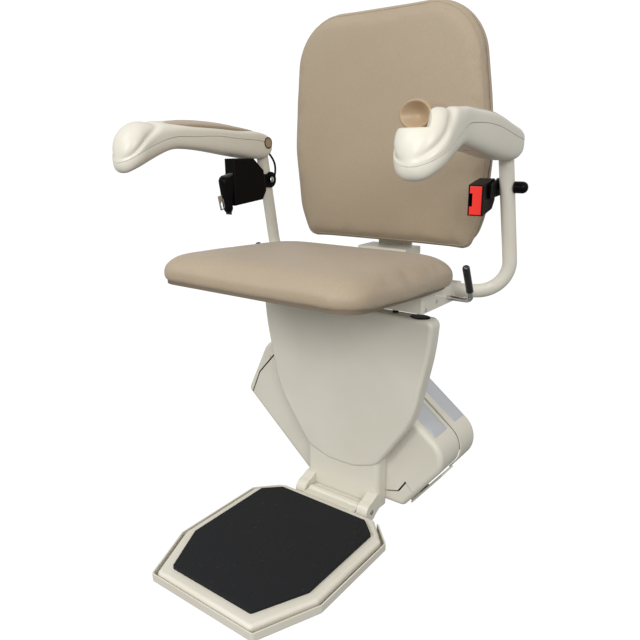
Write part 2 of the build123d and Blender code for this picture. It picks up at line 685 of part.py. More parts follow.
# ---- seat frame and what turns with it ----
HINGE_X = 130
HINGE_PIN = 4
SHAFT_Y = 50
SHAFT_Z = 431
LEVER_ROD = 4.75
LEVER_X = 240
PLUNGER_Y = SWIVEL_Y + LOCK_CIRCLE
REAR_LOW = 436  # the frame is cut down here so that the seat can swing up
TUBE_START_X = 155
TUBE_START_Y = 129 - 0.382 * (ARM_X - TUBE_START_X)
TUBE_Z = 436.5
TUBE_TOP = (274.2, 78.4, 683.15)


def tube_path(hand):
    """Centre line of an arm tube: out of the seat frame, then up to the arm pivot."""
    return FilletPolyline(
        point(hand * TUBE_START_X, TUBE_START_Y, TUBE_Z),
        point(hand * ARM_X, 129, TUBE_Z - 0.5),
        point(hand * TUBE_TOP[0], TUBE_TOP[1], TUBE_TOP[2]),
        radius=TUBE_BEND,
    )


def tube_end(hand):
    """The plane across the lower end of an arm tube."""
    start = Vector(*point(hand * TUBE_START_X, TUBE_START_Y, TUBE_Z))
    bend = Vector(*point(hand * ARM_X, 129, TUBE_Z - 0.5))
    return Plane(origin=start, z_dir=bend - start)


BOLT_X = 174
BOLT_Y = 129 - 0.382 * (ARM_X - BOLT_X)
SIDE_SCREWS = [(7, 432), (-34, 425)]
with BuildPart() as seat_frame:
    bar(level(FRAME_BOTTOM), (-FRAME_HALF, FRAME_FRONT), (FRAME_HALF, FRAME_BACK), FRAME_TOP - FRAME_BOTTOM)
    fillet(seat_frame.edges().filter_by(Axis.Z), 4)
    bar(
        level(FRAME_BOTTOM + WALL),
        (-FRAME_HALF + WALL, FRAME_FRONT + WALL),
        (FRAME_HALF - WALL, FRAME_BACK - WALL),
        FRAME_TOP,
        Mode.SUBTRACT,
        corner=1,
    )
    bar(level(REAR_LOW), (-145, 57), (145, FRAME_BACK + 1), 30, Mode.SUBTRACT)
    rod(level(HUB_BOTTOM), (0, SWIVEL_Y), 24, FRAME_TOP - 2 - HUB_BOTTOM)
    rod(level(HUB_BOTTOM), (0, SWIVEL_Y), SPINDLE_RADIUS + RUNNING, 60, Mode.SUBTRACT)
    rod(level(FRAME_BOTTOM + 1), (0, PLUNGER_Y), 9, 7)
    rod(level(FRAME_BOTTOM - 1), (0, PLUNGER_Y), PLUNGER_RADIUS + RUNNING, 12, Mode.SUBTRACT)
    for x in (-HINGE_X, HINGE_X):
        rod(along(x - 3), (SEAT_HINGE_Y, SEAT_HINGE_Z), 7, 6)
        slab(along(x - 3), [(64, 420), (64, 440), (74, 455), (80, 446), (80, 420)], 6)
        rod(along(x - 4), (SEAT_HINGE_Y, SEAT_HINGE_Z), HINGE_PIN + 0.03, 8, Mode.SUBTRACT)
    rod(along(-FRAME_HALF - 1), (SHAFT_Y, SHAFT_Z), LEVER_ROD + RUNNING, 2 * FRAME_HALF + 2, Mode.SUBTRACT)
    for hand in (-1, 1):
        with BuildLine() as route:
            tube_path(hand)
        with BuildSketch(tube_end(hand)) as bore:
            Circle(TUBE_RADIUS + FIT)
        sweep(bore.sketch, path=route.line, mode=Mode.SUBTRACT)
        rod(level(FRAME_BOTTOM - 1), (hand * BOLT_X, BOLT_Y), 4.2, 6, Mode.SUBTRACT)
        for y, z in SIDE_SCREWS:
            rod(along(hand * FRAME_HALF - 5), (y, z), 1.7, 10, Mode.SUBTRACT)
finish(seat_frame, "seat_frame")

for hand, side in ((1, "left"), (-1, "right")):
    with BuildPart() as arm_tube:
        with BuildLine() as route:
            tube_path(hand)
        with BuildSketch(tube_end(hand)) as section:
            Circle(TUBE_RADIUS)
            Circle(TUBE_RADIUS - TUBE_WALL, mode=Mode.SUBTRACT)
        sweep(section.sketch, path=route.line)
        rod(along(hand * 274 - 20), (BELT_Y, BELT_Z), BELT_BOLT_RADIUS + 0.2, 40, Mode.SUBTRACT)
        rod(level(FRAME_BOTTOM), (hand * BOLT_X, BOLT_Y), 4.2, 14, Mode.SUBTRACT)
    finish(arm_tube, f"arm_tube_{side}")

with BuildPart() as seat_bolts:
    for hand in (-1, 1):
        with BuildSketch(level(FRAME_BOTTOM - 5)) as head:
            with Locations((hand * BOLT_X, BOLT_Y)):
                RegularPolygon(7, 6)
        extrude(head.sketch, amount=5)
        rod(level(FRAME_BOTTOM - 1), (hand * BOLT_X, BOLT_Y), 4, 14)
        for y, z in SIDE_SCREWS:
            rod(along(hand * FRAME_HALF), (y, z), 3.2, 1.6 * hand)
            rod(along(hand * FRAME_HALF), (y, z), 1.5, -5 * hand)
finish(seat_bolts, "seat_bolts")

with BuildPart() as seat_hinge_pins:
    for x in (-HINGE_X, HINGE_X):
        rod(along(x - 10), (SEAT_HINGE_Y, SEAT_HINGE_Z), HINGE_PIN, 20)
finish(seat_hinge_pins, "seat_hinge_pins")

SEAT_PLANE = Plane(
    origin=point(0, SEAT_FOOT_Y, SEAT_HINGE_Z + 2),
    x_dir=(1, 0, 0),
    z_dir=(0, sin(radians(SEAT_TILT)), cos(radians(SEAT_TILT))),
)


def seat_face(inset, height=0):
    """The seat's outline in its own tilted plane, with y counted from the plane's origin."""
    front = SEAT_FRONT - SEAT_FOOT_Y
    back = SEAT_BACK - SEAT_FOOT_Y
    corners = [
        (-SEAT_HALF + 6, front),
        (SEAT_HALF - 6, front),
        (SEAT_HALF + 2, -150),
        (SEAT_HALF - 8, back),
        (-SEAT_HALF + 8, back),
        (-SEAT_HALF - 2, -150),
    ]
    return rounded(SEAT_PLANE.offset(height), corners, [50, 50, 250, 104, 104, 250], inset)


with BuildPart() as seat_board:
    extrude(seat_face(BOARD_INSET), amount=BOARD)
    for x in (-HINGE_X, HINGE_X):
        rod(along(x - 3.5), (SEAT_HINGE_Y, SEAT_HINGE_Z), 8, 7, Mode.SUBTRACT)
        for lug in (x - 9, x + 4):
            rod(along(lug), (SEAT_HINGE_Y, SEAT_HINGE_Z), 7, 5)
            slab(along(lug), [(64, 452), (64, 458), (80, 458), (80, 446)], 5)
        rod(along(x - 10.5), (SEAT_HINGE_Y, SEAT_HINGE_Z), HINGE_PIN + RUNNING, 21, Mode.SUBTRACT)
        rod(level(FRAME_TOP + FIT), (x * 1.2, FRAME_FRONT + 8), 7, 12)
finish(seat_board, "seat_board")

with BuildPart() as seat_cushion:
    extrude(seat_face(0), amount=CUSHION)
    fillet(seat_cushion.faces().sort_by(Axis.Z)[-1].edges(), 20)
    fillet(seat_cushion.faces().sort_by(Axis.Z)[0].edges(), 6)
    extrude(seat_face(BOARD_INSET - FIT, -1), amount=BOARD + FIT + 1, mode=Mode.SUBTRACT)
    for x in (-HINGE_X, HINGE_X):
        rod(along(x - 11), (SEAT_HINGE_Y, SEAT_HINGE_Z), 8.5, 22, Mode.SUBTRACT)
finish(seat_cushion, "seat_cushion")

with BuildPart() as swivel_levers:
    with BuildLine() as route:
        FilletPolyline(
            point(-LEVER_X, 19, 495),
            point(-LEVER_X, SHAFT_Y, SHAFT_Z),
            point(LEVER_X, SHAFT_Y, SHAFT_Z),
            point(LEVER_X, 19, 495),
            radius=11,
        )
    lean = Vector(*point(-LEVER_X, SHAFT_Y, SHAFT_Z)) - Vector(*point(-LEVER_X, 19, 495))
    with BuildSketch(Plane(origin=point(-LEVER_X, 19, 495), z_dir=lean)) as section:
        Circle(LEVER_ROD)
    sweep(section.sketch, path=route.line)
    for x in (-9.5, 6.5):
        bar(along(x), (SHAFT_Y, SHAFT_Z - 2.7), (PLUNGER_Y, SHAFT_Z + 2.7), 3)
finish(swivel_levers, "swivel_levers")

with BuildPart() as lever_grips:
    for hand in (-1, 1):
        foot = Vector(*point(hand * LEVER_X, 41, 449.6))
        tip = Vector(*point(hand * LEVER_X, 17, 499))
        with BuildSketch(Plane(origin=foot, z_dir=tip - foot)) as section:
            Circle(6.5)
        extrude(section.sketch, amount=(tip - foot).length)
    fillet(lever_grips.edges().filter_by(GeomType.CIRCLE).group_by(Axis.Z)[-1], 5)
    for hand in (-1, 1):
        foot = Vector(*point(hand * LEVER_X, 41, 449.6))
        tip = Vector(*point(hand * LEVER_X, 19, 495))
        with BuildSketch(Plane(origin=foot, z_dir=tip - foot)) as section:
            Circle(LEVER_ROD + 0.15)
        extrude(section.sketch, amount=(tip - foot).length, mode=Mode.SUBTRACT)
finish(lever_grips, "lever_grips")

with BuildPart() as lock_plunger:
    rod(level(DISC_TOP + 0.4), (0, PLUNGER_Y), PLUNGER_RADIUS, 35)
    chamfer(lock_plunger.edges().filter_by(GeomType.CIRCLE), 1)
    rod(level(SHAFT_Z + 3), (0, PLUNGER_Y), 10, 3)
finish(lock_plunger, "lock_plunger")

# ---- backrest ----
BACK_PLANE = Plane(
    origin=point(0, BACK_FRONT_Y, BACK_FOOT_Z),
    x_dir=(1, 0, 0),
    z_dir=(0, -cos(radians(BACK_TILT)), sin(radians(BACK_TILT))),
)
BACK_HEIGHT = BACK_TOP_Z - BACK_FOOT_Z


def back_face(depth, inset=0):
    """The backrest's outline, some way behind its front plane."""
    corners = [
        (-BACK_HALF + 15, 0),
        (BACK_HALF - 15, 0),
        (BACK_HALF + 1, 235),
        (BACK_HALF - 17, BACK_HEIGHT),
        (-BACK_HALF + 17, BACK_HEIGHT),
        (-BACK_HALF - 1, 235),
    ]
    return rounded(BACK_PLANE.offset(-depth), corners, [38, 38, 300, 104, 104, 300], inset)


with BuildPart() as back_cushion:
    extrude(back_face(BACK_CUSHION), amount=BACK_CUSHION)
    fillet(back_cushion.faces().sort_by(Axis(BACK_PLANE.origin, BACK_PLANE.z_dir))[-1].edges(), 18)
finish(back_cushion, "back_cushion")

BOARD_FRONT = BACK_CUSHION + FIT
with BuildPart() as back_board:
    extrude(back_face(BOARD_FRONT + BACK_BOARD), amount=BACK_BOARD)
    fillet(back_board.faces().sort_by(Axis(BACK_PLANE.origin, BACK_PLANE.z_dir))[0].edges(), 8)
finish(back_board, "back_board")

BRACKET = 5
BRACKET_HALF = 58
SHELF_Z = 494
RISER_Y = 135
SHELF_BACK = 197
LEG_BACK = BOARD_FRONT + BACK_BOARD + FIT
with BuildPart() as back_bracket:
    bar(level(FRAME_BOTTOM - FIT - 4), (-BRACKET_HALF, 84), (BRACKET_HALF, RISER_Y + BRACKET), 4)
    bar(
        level(FRAME_BOTTOM - FIT - 4),
        (-BRACKET_HALF, RISER_Y),
        (BRACKET_HALF, RISER_Y + BRACKET),
        SHELF_Z - FRAME_BOTTOM + FIT + 4,
    )
    bar(level(SHELF_Z - BRACKET), (-BRACKET_HALF, RISER_Y), (BRACKET_HALF, SHELF_BACK), BRACKET)
    for x in (-BRACKET_HALF, BRACKET_HALF - BRACKET):
        bar(along(x), (RISER_Y, SHELF_Z - 16), (SHELF_BACK, SHELF_Z), BRACKET)
    bar(BACK_PLANE.offset(-LEG_BACK - BRACKET), (-40, -BACK_FOOT_Z + SHELF_Z - 4), (40, 195), BRACKET)
finish(back_bracket, "back_bracket")

# ---- arms ----
ARM_TOP = [(ARM_PIVOT_Y + 4, 725), (0, 737), (-90, 744), (-170, 750), (-232, 752), (-276, 738), (-300, 694)]
ARM_UNDER = [(-291, 657), (-250, 665), (-211, 684), (-171, 696), (-143, 697), (12, 680), (67, 673)]
ARM_SEAM = [
    (140, 700),
    (85, 709),
    (-60, 722),
    (-128, 723),
    (-203, 709),
    (-248, 687),
    (-290, 669),
    (-340, 652),
]


def arm_side(x):
    """The arm's side outline: a long top, a drooping nose and a curved underside."""
    with BuildSketch(along(x)) as face:
        with BuildLine():
            top = Spline(*ARM_TOP)
            nose = ThreePointArc(top @ 1, (-303, 674), ARM_UNDER[0])
            under = Spline(nose @ 1, *ARM_UNDER[1:])
            Polyline(under @ 1, (88, 676), (92, 690), (92, 712), (88, 721), top @ 0)
        make_face()
    return face.sketch


def arm_plan():
    """The arm seen from above: a straight shaft with a round nose that stands out to the side."""
    with BuildSketch(level(600)) as face:
        with Locations((NOSE_X, NOSE_Y)):
            Circle(NOSE_RADIUS)
        with BuildLine():
            Polyline(
                (ARM_IN, 100),
                (ARM_IN + 1, NOSE_Y + 10),
                (NOSE_X - NOSE_RADIUS + 1, NOSE_Y),
                (NOSE_X + NOSE_RADIUS - 1, NOSE_Y),
                (ARM_OUT + 14, NOSE_Y + 70),
                (ARM_OUT, NOSE_Y + 150),
                (ARM_OUT, 100),
                close=True,
            )
        make_face()
    return face.sketch


PAD_BACK = 20
PAD_FRONT = -200
ROCKER_PAD_FRONT = -155  # the pad stops short of the control rocker
PAD_IN = ARM_IN + 5
PAD_OUT = ARM_OUT - 7
TUBE_SLOT = 274  # middle of the slot that lets the arm swing past its tube
SLOT_HALF = TUBE_RADIUS + 1.2
with BuildPart() as arm_solid:
    extrude(arm_side(ARM_IN), amount=80)
    extrude(arm_plan(), amount=200, mode=Mode.INTERSECT)


HOLLOW_TOP = [(86, 716), (66, 719), (10, 720), (-90, 722), (-150, 714), (-200, 710), (-262, 704), (-288, 676)]
HOLLOW_UNDER = [(-284, 667), (-250, 670), (-211, 689), (-171, 701), (-143, 702), (12, 685), (66, 678)]
with BuildPart() as arm_hollow:
    with BuildSketch(along(ARM_IN + ARM_WALL)) as inside:
        with BuildLine():
            roof = Spline(*HOLLOW_TOP)
            floor = Spline(*HOLLOW_UNDER)
            Line(roof @ 1, floor @ 0)
            Polyline(floor @ 1, (86, 680), (89, 692), roof @ 0)
        make_face()
    extrude(inside.sketch, amount=ARM_OUT - ARM_IN - 2 * ARM_WALL)
    rod(along(ARM_IN + 10.5), (ARM_PIVOT_Y, ARM_PIVOT_Z), TUBE_RADIUS + 1.4, 27)


def pad_block(front, grow, top):
    """The space of the pad, from its base up to top; grow makes it larger all round."""
    with BuildPart() as pad:
        with BuildSketch(along(PAD_IN - grow)) as side:
            with BuildLine():
                base = Spline((PAD_BACK + grow, 727 - grow), (-60, 734 - grow), (front - grow, 742 - grow))
                if top:
                    Polyline(base @ 1, (front - grow, top), (PAD_BACK + grow, top), base @ 0)
                else:
                    rim = Spline((front, 750), (-60, 742), (PAD_BACK, 735))
                    Line(base @ 1, rim @ 0)
                    Line(rim @ 1, base @ 0)
            make_face()
        extrude(side.sketch, amount=PAD_OUT - PAD_IN + 2 * grow)
    return pad.part


def seam_zone(lift):
    """Everything under the seam between the arm's two halves, moved up or down by lift."""
    with BuildSketch(along(ARM_IN - 10)) as zone:
        with BuildLine():
            line = Spline(*[(y, z + lift) for y, z in ARM_SEAM])
            Polyline(line @ 1, (-340, 560), (140, 560), line @ 0)
        make_face()
    return zone.sketch


ROCKER_BACK = -169
ROCKER_FRONT = -252
SEAM_GAP = 0.4


def upper_shell(pad_front):
    """The arm's upper half, with a recess for its pad and a slot that clears the tube."""
    with BuildPart() as shell:
        add(arm_solid.part)
        extrude(seam_zone(SEAM_GAP / 2), amount=110, mode=Mode.SUBTRACT)
        add(arm_hollow.part, mode=Mode.SUBTRACT)
        add(pad_block(pad_front, FIT, 790), mode=Mode.SUBTRACT)
        rod(along(ARM_IN - 5), (ARM_PIVOT_Y, ARM_PIVOT_Z), PIVOT_RADIUS + RUNNING, 51, Mode.SUBTRACT)
        bar(level(700), (TUBE_SLOT - SLOT_HALF, 76), (TUBE_SLOT + SLOT_HALF, 110), 19.5, Mode.SUBTRACT)
    return shell.part


def lower_shell():
    """The arm's lower half, slotted from the pivot back so that the arm swings past its tube."""
    with BuildPart() as shell:
        add(arm_solid.part)
        extrude(seam_zone(-SEAM_GAP / 2), amount=110, mode=Mode.INTERSECT)
        add(arm_hollow.part, mode=Mode.SUBTRACT)
        rod(along(ARM_IN - 5), (ARM_PIVOT_Y, ARM_PIVOT_Z), PIVOT_RADIUS + RUNNING, 51, Mode.SUBTRACT)
        bar(level(600), (TUBE_SLOT - SLOT_HALF, 57), (TUBE_SLOT + SLOT_HALF, 110), 130, Mode.SUBTRACT)
    return shell.part


ROCKER_LENGTH = ROCKER_BACK - ROCKER_FRONT
with BuildPart() as arm_left_upper:
    add(upper_shell(ROCKER_PAD_FRONT))
    rod(across(ROCKER_BACK + 1), (ROCKER_X, ROCKER_Z), ROCKER_RADIUS + 0.5, ROCKER_LENGTH + 2, Mode.SUBTRACT)
    rod(across(ROCKER_BACK + 9), (ROCKER_X, ROCKER_Z), 3 + RUNNING, ROCKER_LENGTH + 18, Mode.SUBTRACT)
finish(arm_left_upper, "arm_left_upper")

with BuildPart() as arm_left_lower:
    add(lower_shell())
    rod(across(ROCKER_BACK + 1), (ROCKER_X, ROCKER_Z), ROCKER_RADIUS + 0.5, ROCKER_LENGTH + 2, Mode.SUBTRACT)
finish(arm_left_lower, "arm_left_lower")

with BuildPart() as arm_left_pad:
    add(pad_block(ROCKER_PAD_FRONT, 0, None))
finish(arm_left_pad, "arm_left_pad")

with BuildPart() as control_rocker:
    rod(across(ROCKER_BACK), (ROCKER_X, ROCKER_Z), ROCKER_RADIUS, ROCKER_LENGTH)
    fillet(control_rocker.edges().filter_by(GeomType.CIRCLE), 4)
    rod(across(ROCKER_BACK + 8), (ROCKER_X, ROCKER_Z), 3, ROCKER_LENGTH + 16)
finish(control_rocker, "control_rocker")

with BuildPart() as arm_right_upper:
    mirror(upper_shell(PAD_FRONT), about=Plane.YZ)
finish(arm_right_upper, "arm_right_upper")

with BuildPart() as arm_right_lower:
    mirror(lower_shell(), about=Plane.YZ)
finish(arm_right_lower, "arm_right_lower")

with BuildPart() as arm_right_pad:
    mirror(pad_block(PAD_FRONT, 0, None), about=Plane.YZ)
finish(arm_right_pad, "arm_right_pad")

NECK_RADIUS = 8  # thin enough for the arm to fold up past it
with BuildPart() as arm_pivots:
    for hand in (-1, 1):
        rod(along(hand * ARM_IN - hand * 0.8), (ARM_PIVOT_Y, ARM_PIVOT_Z), PIVOT_RADIUS, hand * 46)
        rod(along(hand * 261.5), (ARM_PIVOT_Y, ARM_PIVOT_Z), TUBE_RADIUS + 0.8, hand * 25)
        top = Vector(*point(hand * TUBE_TOP[0], TUBE_TOP[1], TUBE_TOP[2]))
        bend = Vector(*point(hand * ARM_X, 129, TUBE_Z - 0.5))
        up = (top - bend).normalized()
        with BuildSketch(Plane(origin=top - up * 25, z_dir=up)) as plug:
            Circle(TUBE_RADIUS - TUBE_WALL - RUNNING)
        extrude(plug.sketch, amount=25.2)
        with BuildSketch(Plane(origin=top + up * 0.2, z_dir=up)) as neck:
            Circle(NECK_RADIUS)
        extrude(neck.sketch, amount=14)
finish(arm_pivots, "arm_pivots")

# ---- lap belt ----
POST_IN = 262.4  # just inside the arm tube at the belt bolts
PLATE_IN = 259.8
CASE_IN = 233
with BuildPart() as retractor_frame:
    slab(along(-POST_IN + 0.1), [(-30, 606), (-30, 650), (80, 640), (90, 645), (90, 611), (80, 612)], 2.5)
    rod(along(-POST_IN + 0.1), (BELT_Y, BELT_Z), 17, 2.5)
    rod(along(-POST_IN + 0.1), (2, BELT_Z), 4, 24)
    rod(along(-POST_IN), (BELT_Y, BELT_Z), BELT_BOLT_RADIUS + 0.1, 3, Mode.SUBTRACT)
finish(retractor_frame, "retractor_frame")

RETRACTOR = [(-50, 583), (-50, 676), (8, 676), (38, 651), (45, 608), (33, 590)]
with BuildPart() as retractor_case:
    slab(along(-PLATE_IN + FIT), RETRACTOR, PLATE_IN - FIT - CASE_IN)
    fillet(retractor_case.faces().sort_by(Axis.X)[-1].edges(), 3)
    with BuildSketch(along(-PLATE_IN + FIT + 2.5)) as inside:
        with BuildLine():
            Polyline(*RETRACTOR, close=True)
        make_face()
        offset(amount=-2.5)
    extrude(inside.sketch, amount=PLATE_IN - FIT - CASE_IN - 5, mode=Mode.SUBTRACT)
    rod(along(-PLATE_IN), (2, BELT_Z), 4.1, 4, Mode.SUBTRACT)
    bar(along(-252.2), (-53, 641.5), (-40, 649), 14.4, Mode.SUBTRACT)
finish(retractor_case, "retractor_case")

with BuildPart() as belt_spool:
    rod(along(-254), (2, BELT_Z), 27, 15)
    rod(along(-256), (2, BELT_Z), 12, 19)
    rod(along(-257), (2, BELT_Z), 4 + RUNNING, 24, Mode.SUBTRACT)
finish(belt_spool, "belt_spool")

with BuildPart() as belt_webbing:
    slab(
        along(-251.5),
        [(-46, 648), (-71, 643), (-75, 634), (-61, 566), (-57, 566), (-70.5, 633), (-69, 639), (-46, 644)],
        13,
    )
finish(belt_webbing, "belt_webbing")

with BuildPart() as belt_tongue:
    slab(along(-246), [(-88, 604), (-82, 576), (-64, 578), (-70, 607)], 2)
    slab(along(-247), [(-82, 589), (-78.5, 578), (-71, 582), (-75, 600)], 4, Mode.SUBTRACT)
finish(belt_tongue, "belt_tongue")

BUCKLE_IN = 232
BUCKLE_OUT = 258
STALK = POST_IN - 0.1 - BUCKLE_OUT - FIT
with BuildPart() as buckle_stalk:
    slab(along(BUCKLE_OUT + FIT), [(52, 610), (52, 634), (90, 643), (90, 613)], STALK)
    rod(along(BUCKLE_OUT + FIT), (BELT_Y, BELT_Z), 15, STALK)
    rod(along(BUCKLE_OUT), (BELT_Y, BELT_Z), BELT_BOLT_RADIUS + 0.1, 8, Mode.SUBTRACT)
finish(buckle_stalk, "buckle_stalk")

BUCKLE_FACE = 30
with BuildPart() as buckle_body:
    slab(
        along(BUCKLE_IN),
        [(BUCKLE_FACE, 582), (BUCKLE_FACE, 634), (76, 643), (82.5, 635), (82, 606), (72, 592)],
        BUCKLE_OUT - BUCKLE_IN,
    )
    fillet(buckle_body.edges().filter_by(Axis.X), 2)
    bar(across(BUCKLE_FACE + 22), (BUCKLE_IN + 2, 584), (BUCKLE_OUT - 2, 632), 30, Mode.SUBTRACT)
finish(buckle_body, "buckle_body")

with BuildPart() as buckle_button:
    bar(across(BUCKLE_FACE + 14), (BUCKLE_IN + 2.3, 584.3), (BUCKLE_OUT - 2.3, 631.7), 14.5)
    fillet(buckle_button.faces().sort_by(Axis.Y)[0].edges(), 1)
    bar(across(BUCKLE_FACE + 15), (BUCKLE_IN, 598), (BUCKLE_IN + 7.6, 620), 20, Mode.SUBTRACT)
finish(buckle_button, "buckle_button")

with BuildPart() as bolt_caps:
    for hand in (-1, 1):
        rod(along(hand * 289.3), (BELT_Y, BELT_Z), 10, hand * 22)
    fillet(bolt_caps.edges().filter_by(GeomType.CIRCLE).group_by(Axis.X)[-1], 9)
    fillet(bolt_caps.edges().filter_by(GeomType.CIRCLE).group_by(Axis.X)[0], 9)
    rod(along(BUCKLE_OUT - 3.5), (BELT_Y, BELT_Z), BELT_BOLT_RADIUS, 33)
    rod(along(BUCKLE_OUT - 3.5), (BELT_Y, BELT_Z), 6.5, 3.5)
    rod(along(-POST_IN + 5.8), (BELT_Y, BELT_Z), BELT_BOLT_RADIUS, -34)
    rod(along(-POST_IN + 5.8), (BELT_Y, BELT_Z), 6.5, -3.1)
finish(bolt_caps, "bolt_caps")

# The switch lead down the tube to the retractor: chosen points, joined by arcs as large as they allow.
CABLE_POINTS = [
    (-270, 92.3, 688),
    (-268, 103, 677),
    (-265.8, 110.5, 663.5),
    (-265, 111.8, 649),
    (-264.95, 108.5, 635),
    (-264.95, 103.5, 624),
]
spots = [Vector(*point(*spot)) for spot in CABLE_POINTS]
runs = [after - before for before, after in zip(spots, spots[1:])]
CABLE_BENDS = []
for before, after in zip(runs, runs[1:]):
    half_turn = radians(before.get_angle(after)) / 2
    CABLE_BENDS.append(0.45 * min(before.length, after.length) / tan(half_turn))
with BuildPart() as belt_cable:
    with BuildLine() as route:
        FilletPolyline(*spots, radius=CABLE_BENDS)
    with BuildSketch(Plane(origin=spots[0], z_dir=runs[0])) as section:
        Circle(CABLE_RADIUS)
    sweep(section.sketch, path=route.line)
finish(belt_cable, "belt_cable")
cable_length = sum(run.length for run in route.line.edges())
print("cable bend radii", [round(bend, 1) for bend in CABLE_BENDS])
print("cable length", round(cable_length, 1), "volume", round(belt_cable.part.volume, 1))
print("section times length", round(3.14159 * CABLE_RADIUS**2 * cable_length, 1))
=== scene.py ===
"""The looks of a stair lift's chair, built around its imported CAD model."""
import json
import math

import bmesh
import bpy
import numpy as np
from mathutils import Matrix


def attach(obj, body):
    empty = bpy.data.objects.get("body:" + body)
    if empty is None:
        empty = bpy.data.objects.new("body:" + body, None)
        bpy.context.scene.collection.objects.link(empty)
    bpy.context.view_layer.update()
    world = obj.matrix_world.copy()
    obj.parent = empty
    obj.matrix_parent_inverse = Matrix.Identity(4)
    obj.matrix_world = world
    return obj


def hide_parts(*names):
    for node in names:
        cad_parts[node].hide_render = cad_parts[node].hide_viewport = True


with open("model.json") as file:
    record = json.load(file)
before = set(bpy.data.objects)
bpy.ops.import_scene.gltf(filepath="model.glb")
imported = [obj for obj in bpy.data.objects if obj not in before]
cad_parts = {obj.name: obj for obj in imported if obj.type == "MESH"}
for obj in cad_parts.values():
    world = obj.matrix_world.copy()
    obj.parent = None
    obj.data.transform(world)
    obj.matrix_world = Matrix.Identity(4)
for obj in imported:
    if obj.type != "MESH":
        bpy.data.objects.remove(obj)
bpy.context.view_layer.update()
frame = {"nodes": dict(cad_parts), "record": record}

# ---- places: sizes below are millimetres from the drawing's datum ----
MM = 0.001
DATUM = np.array([0.0, 137.0, 108.0])
RAIL_SLOPE = math.radians(37.9)
SIDE = np.array([1.0, 0.0, 0.0])
BACKWARD = np.array([0.0, 1.0, 0.0])
UPWARD = np.array([0.0, 0.0, 1.0])


def place(points):
    """Datum millimetres turned into the frame's metres: the datum is taken off and the rest scaled."""
    return (np.asarray(points, float) - DATUM) * MM


def eased(value):
    """0 below 0, 1 above 1 and 3v^2 - 2v^3 between them."""
    v = np.clip(value, 0.0, 1.0)
    return v * v * (3 - 2 * v)


def curve(knots, at):
    """A natural cubic spline through the knots (place, value), read at the given places."""
    knots = sorted(knots)
    x = np.array([k[0] for k in knots], float)
    y = np.array([k[1] for k in knots], float)
    h = np.diff(x)
    n = len(x)
    system = np.eye(n)
    right = np.zeros(n)
    inner = np.arange(1, n - 1)
    system[inner, inner - 1] = h[:-1]
    system[inner, inner] = 2 * (h[:-1] + h[1:])
    system[inner, inner + 1] = h[1:]
    right[inner] = 6 * (np.diff(y)[1:] / h[1:] - np.diff(y)[:-1] / h[:-1])
    bend = np.linalg.solve(system, right)
    at = np.clip(at, x[0], x[-1])
    k = np.clip(np.searchsorted(x, at) - 1, 0, n - 2)
    a = (x[k + 1] - at) / h[k]
    b = (at - x[k]) / h[k]
    return a * y[k] + b * y[k + 1] + ((a**3 - a) * bend[k] + (b**3 - b) * bend[k + 1]) * h[k] ** 2 / 6


# ---- meshes ----
def piece_from(name, points, faces, smooth=True):
    """A mesh object of these points and faces, its faces turned outwards and its doubles merged."""
    mesh = bpy.data.meshes.new(name)
    mesh.from_pydata(np.asarray(points).tolist(), [], faces)
    work = bmesh.new()
    work.from_mesh(mesh)
    bmesh.ops.remove_doubles(work, verts=work.verts, dist=2e-6)
    bmesh.ops.recalc_face_normals(work, faces=work.faces)
    work.to_mesh(mesh)
    work.free()
    mesh.polygons.foreach_set("use_smooth", [smooth] * len(mesh.polygons))
    piece = bpy.data.objects.new(name, mesh)
    bpy.context.scene.collection.objects.link(piece)
    return piece


def skin(name, rings, smooth=True, loop=False):
    """A closed skin: each ring of points is joined to the next by four-sided faces. The two end rings
    are closed by fans to their middles, or, for a loop, the last ring is joined to the first."""
    count, around = rings.shape[:2]
    rows = np.arange(count if loop else count - 1)[:, None]
    here = np.arange(around)[None, :]
    there = (here + 1) % around
    first = rows * around
    second = ((rows + 1) % count) * around
    quads = np.stack([first + here, first + there, second + there, second + here], -1).reshape(-1, 4)
    points = rings.reshape(-1, 3)
    faces = quads.tolist()
    if not loop:
        hubs = np.stack([rings[0].mean(0), rings[-1].mean(0)])
        ring = np.arange(around)
        after = (ring + 1) % around
        last = (count - 1) * around
        faces += np.stack([after, ring, np.full(around, count * around)], -1).tolist()
        faces += np.stack([ring + last, after + last, np.full(around, count * around + 1)], -1).tolist()
        points = np.vstack([points, hubs])
    return piece_from(name, points, faces, smooth)


def modified(piece, kind, **settings):
    """One more modifier on the piece, applied at once."""
    step = piece.modifiers.new(kind, kind)
    for key, value in settings.items():
        setattr(step, key, value)
    bpy.context.view_layer.update()
    graph = bpy.context.evaluated_depsgraph_get()
    mesh = bpy.data.meshes.new_from_object(piece.evaluated_get(graph))
    piece.modifiers.clear()
    old = piece.data
    piece.data = mesh
    bpy.data.meshes.remove(old)


def carved(piece, cutter):
    """The cutter is taken out of the piece and thrown away."""
    modified(piece, "BOOLEAN", operation="DIFFERENCE", object=cutter, solver="EXACT")
    bpy.data.objects.remove(cutter)


def creased(piece, degrees=35):
    """Smooth shading, with edges that turn more than this kept sharp."""
    mesh = piece.data
    mesh.polygons.foreach_set("use_smooth", [True] * len(mesh.polygons))
    mesh.set_sharp_from_angle(angle=math.radians(degrees))


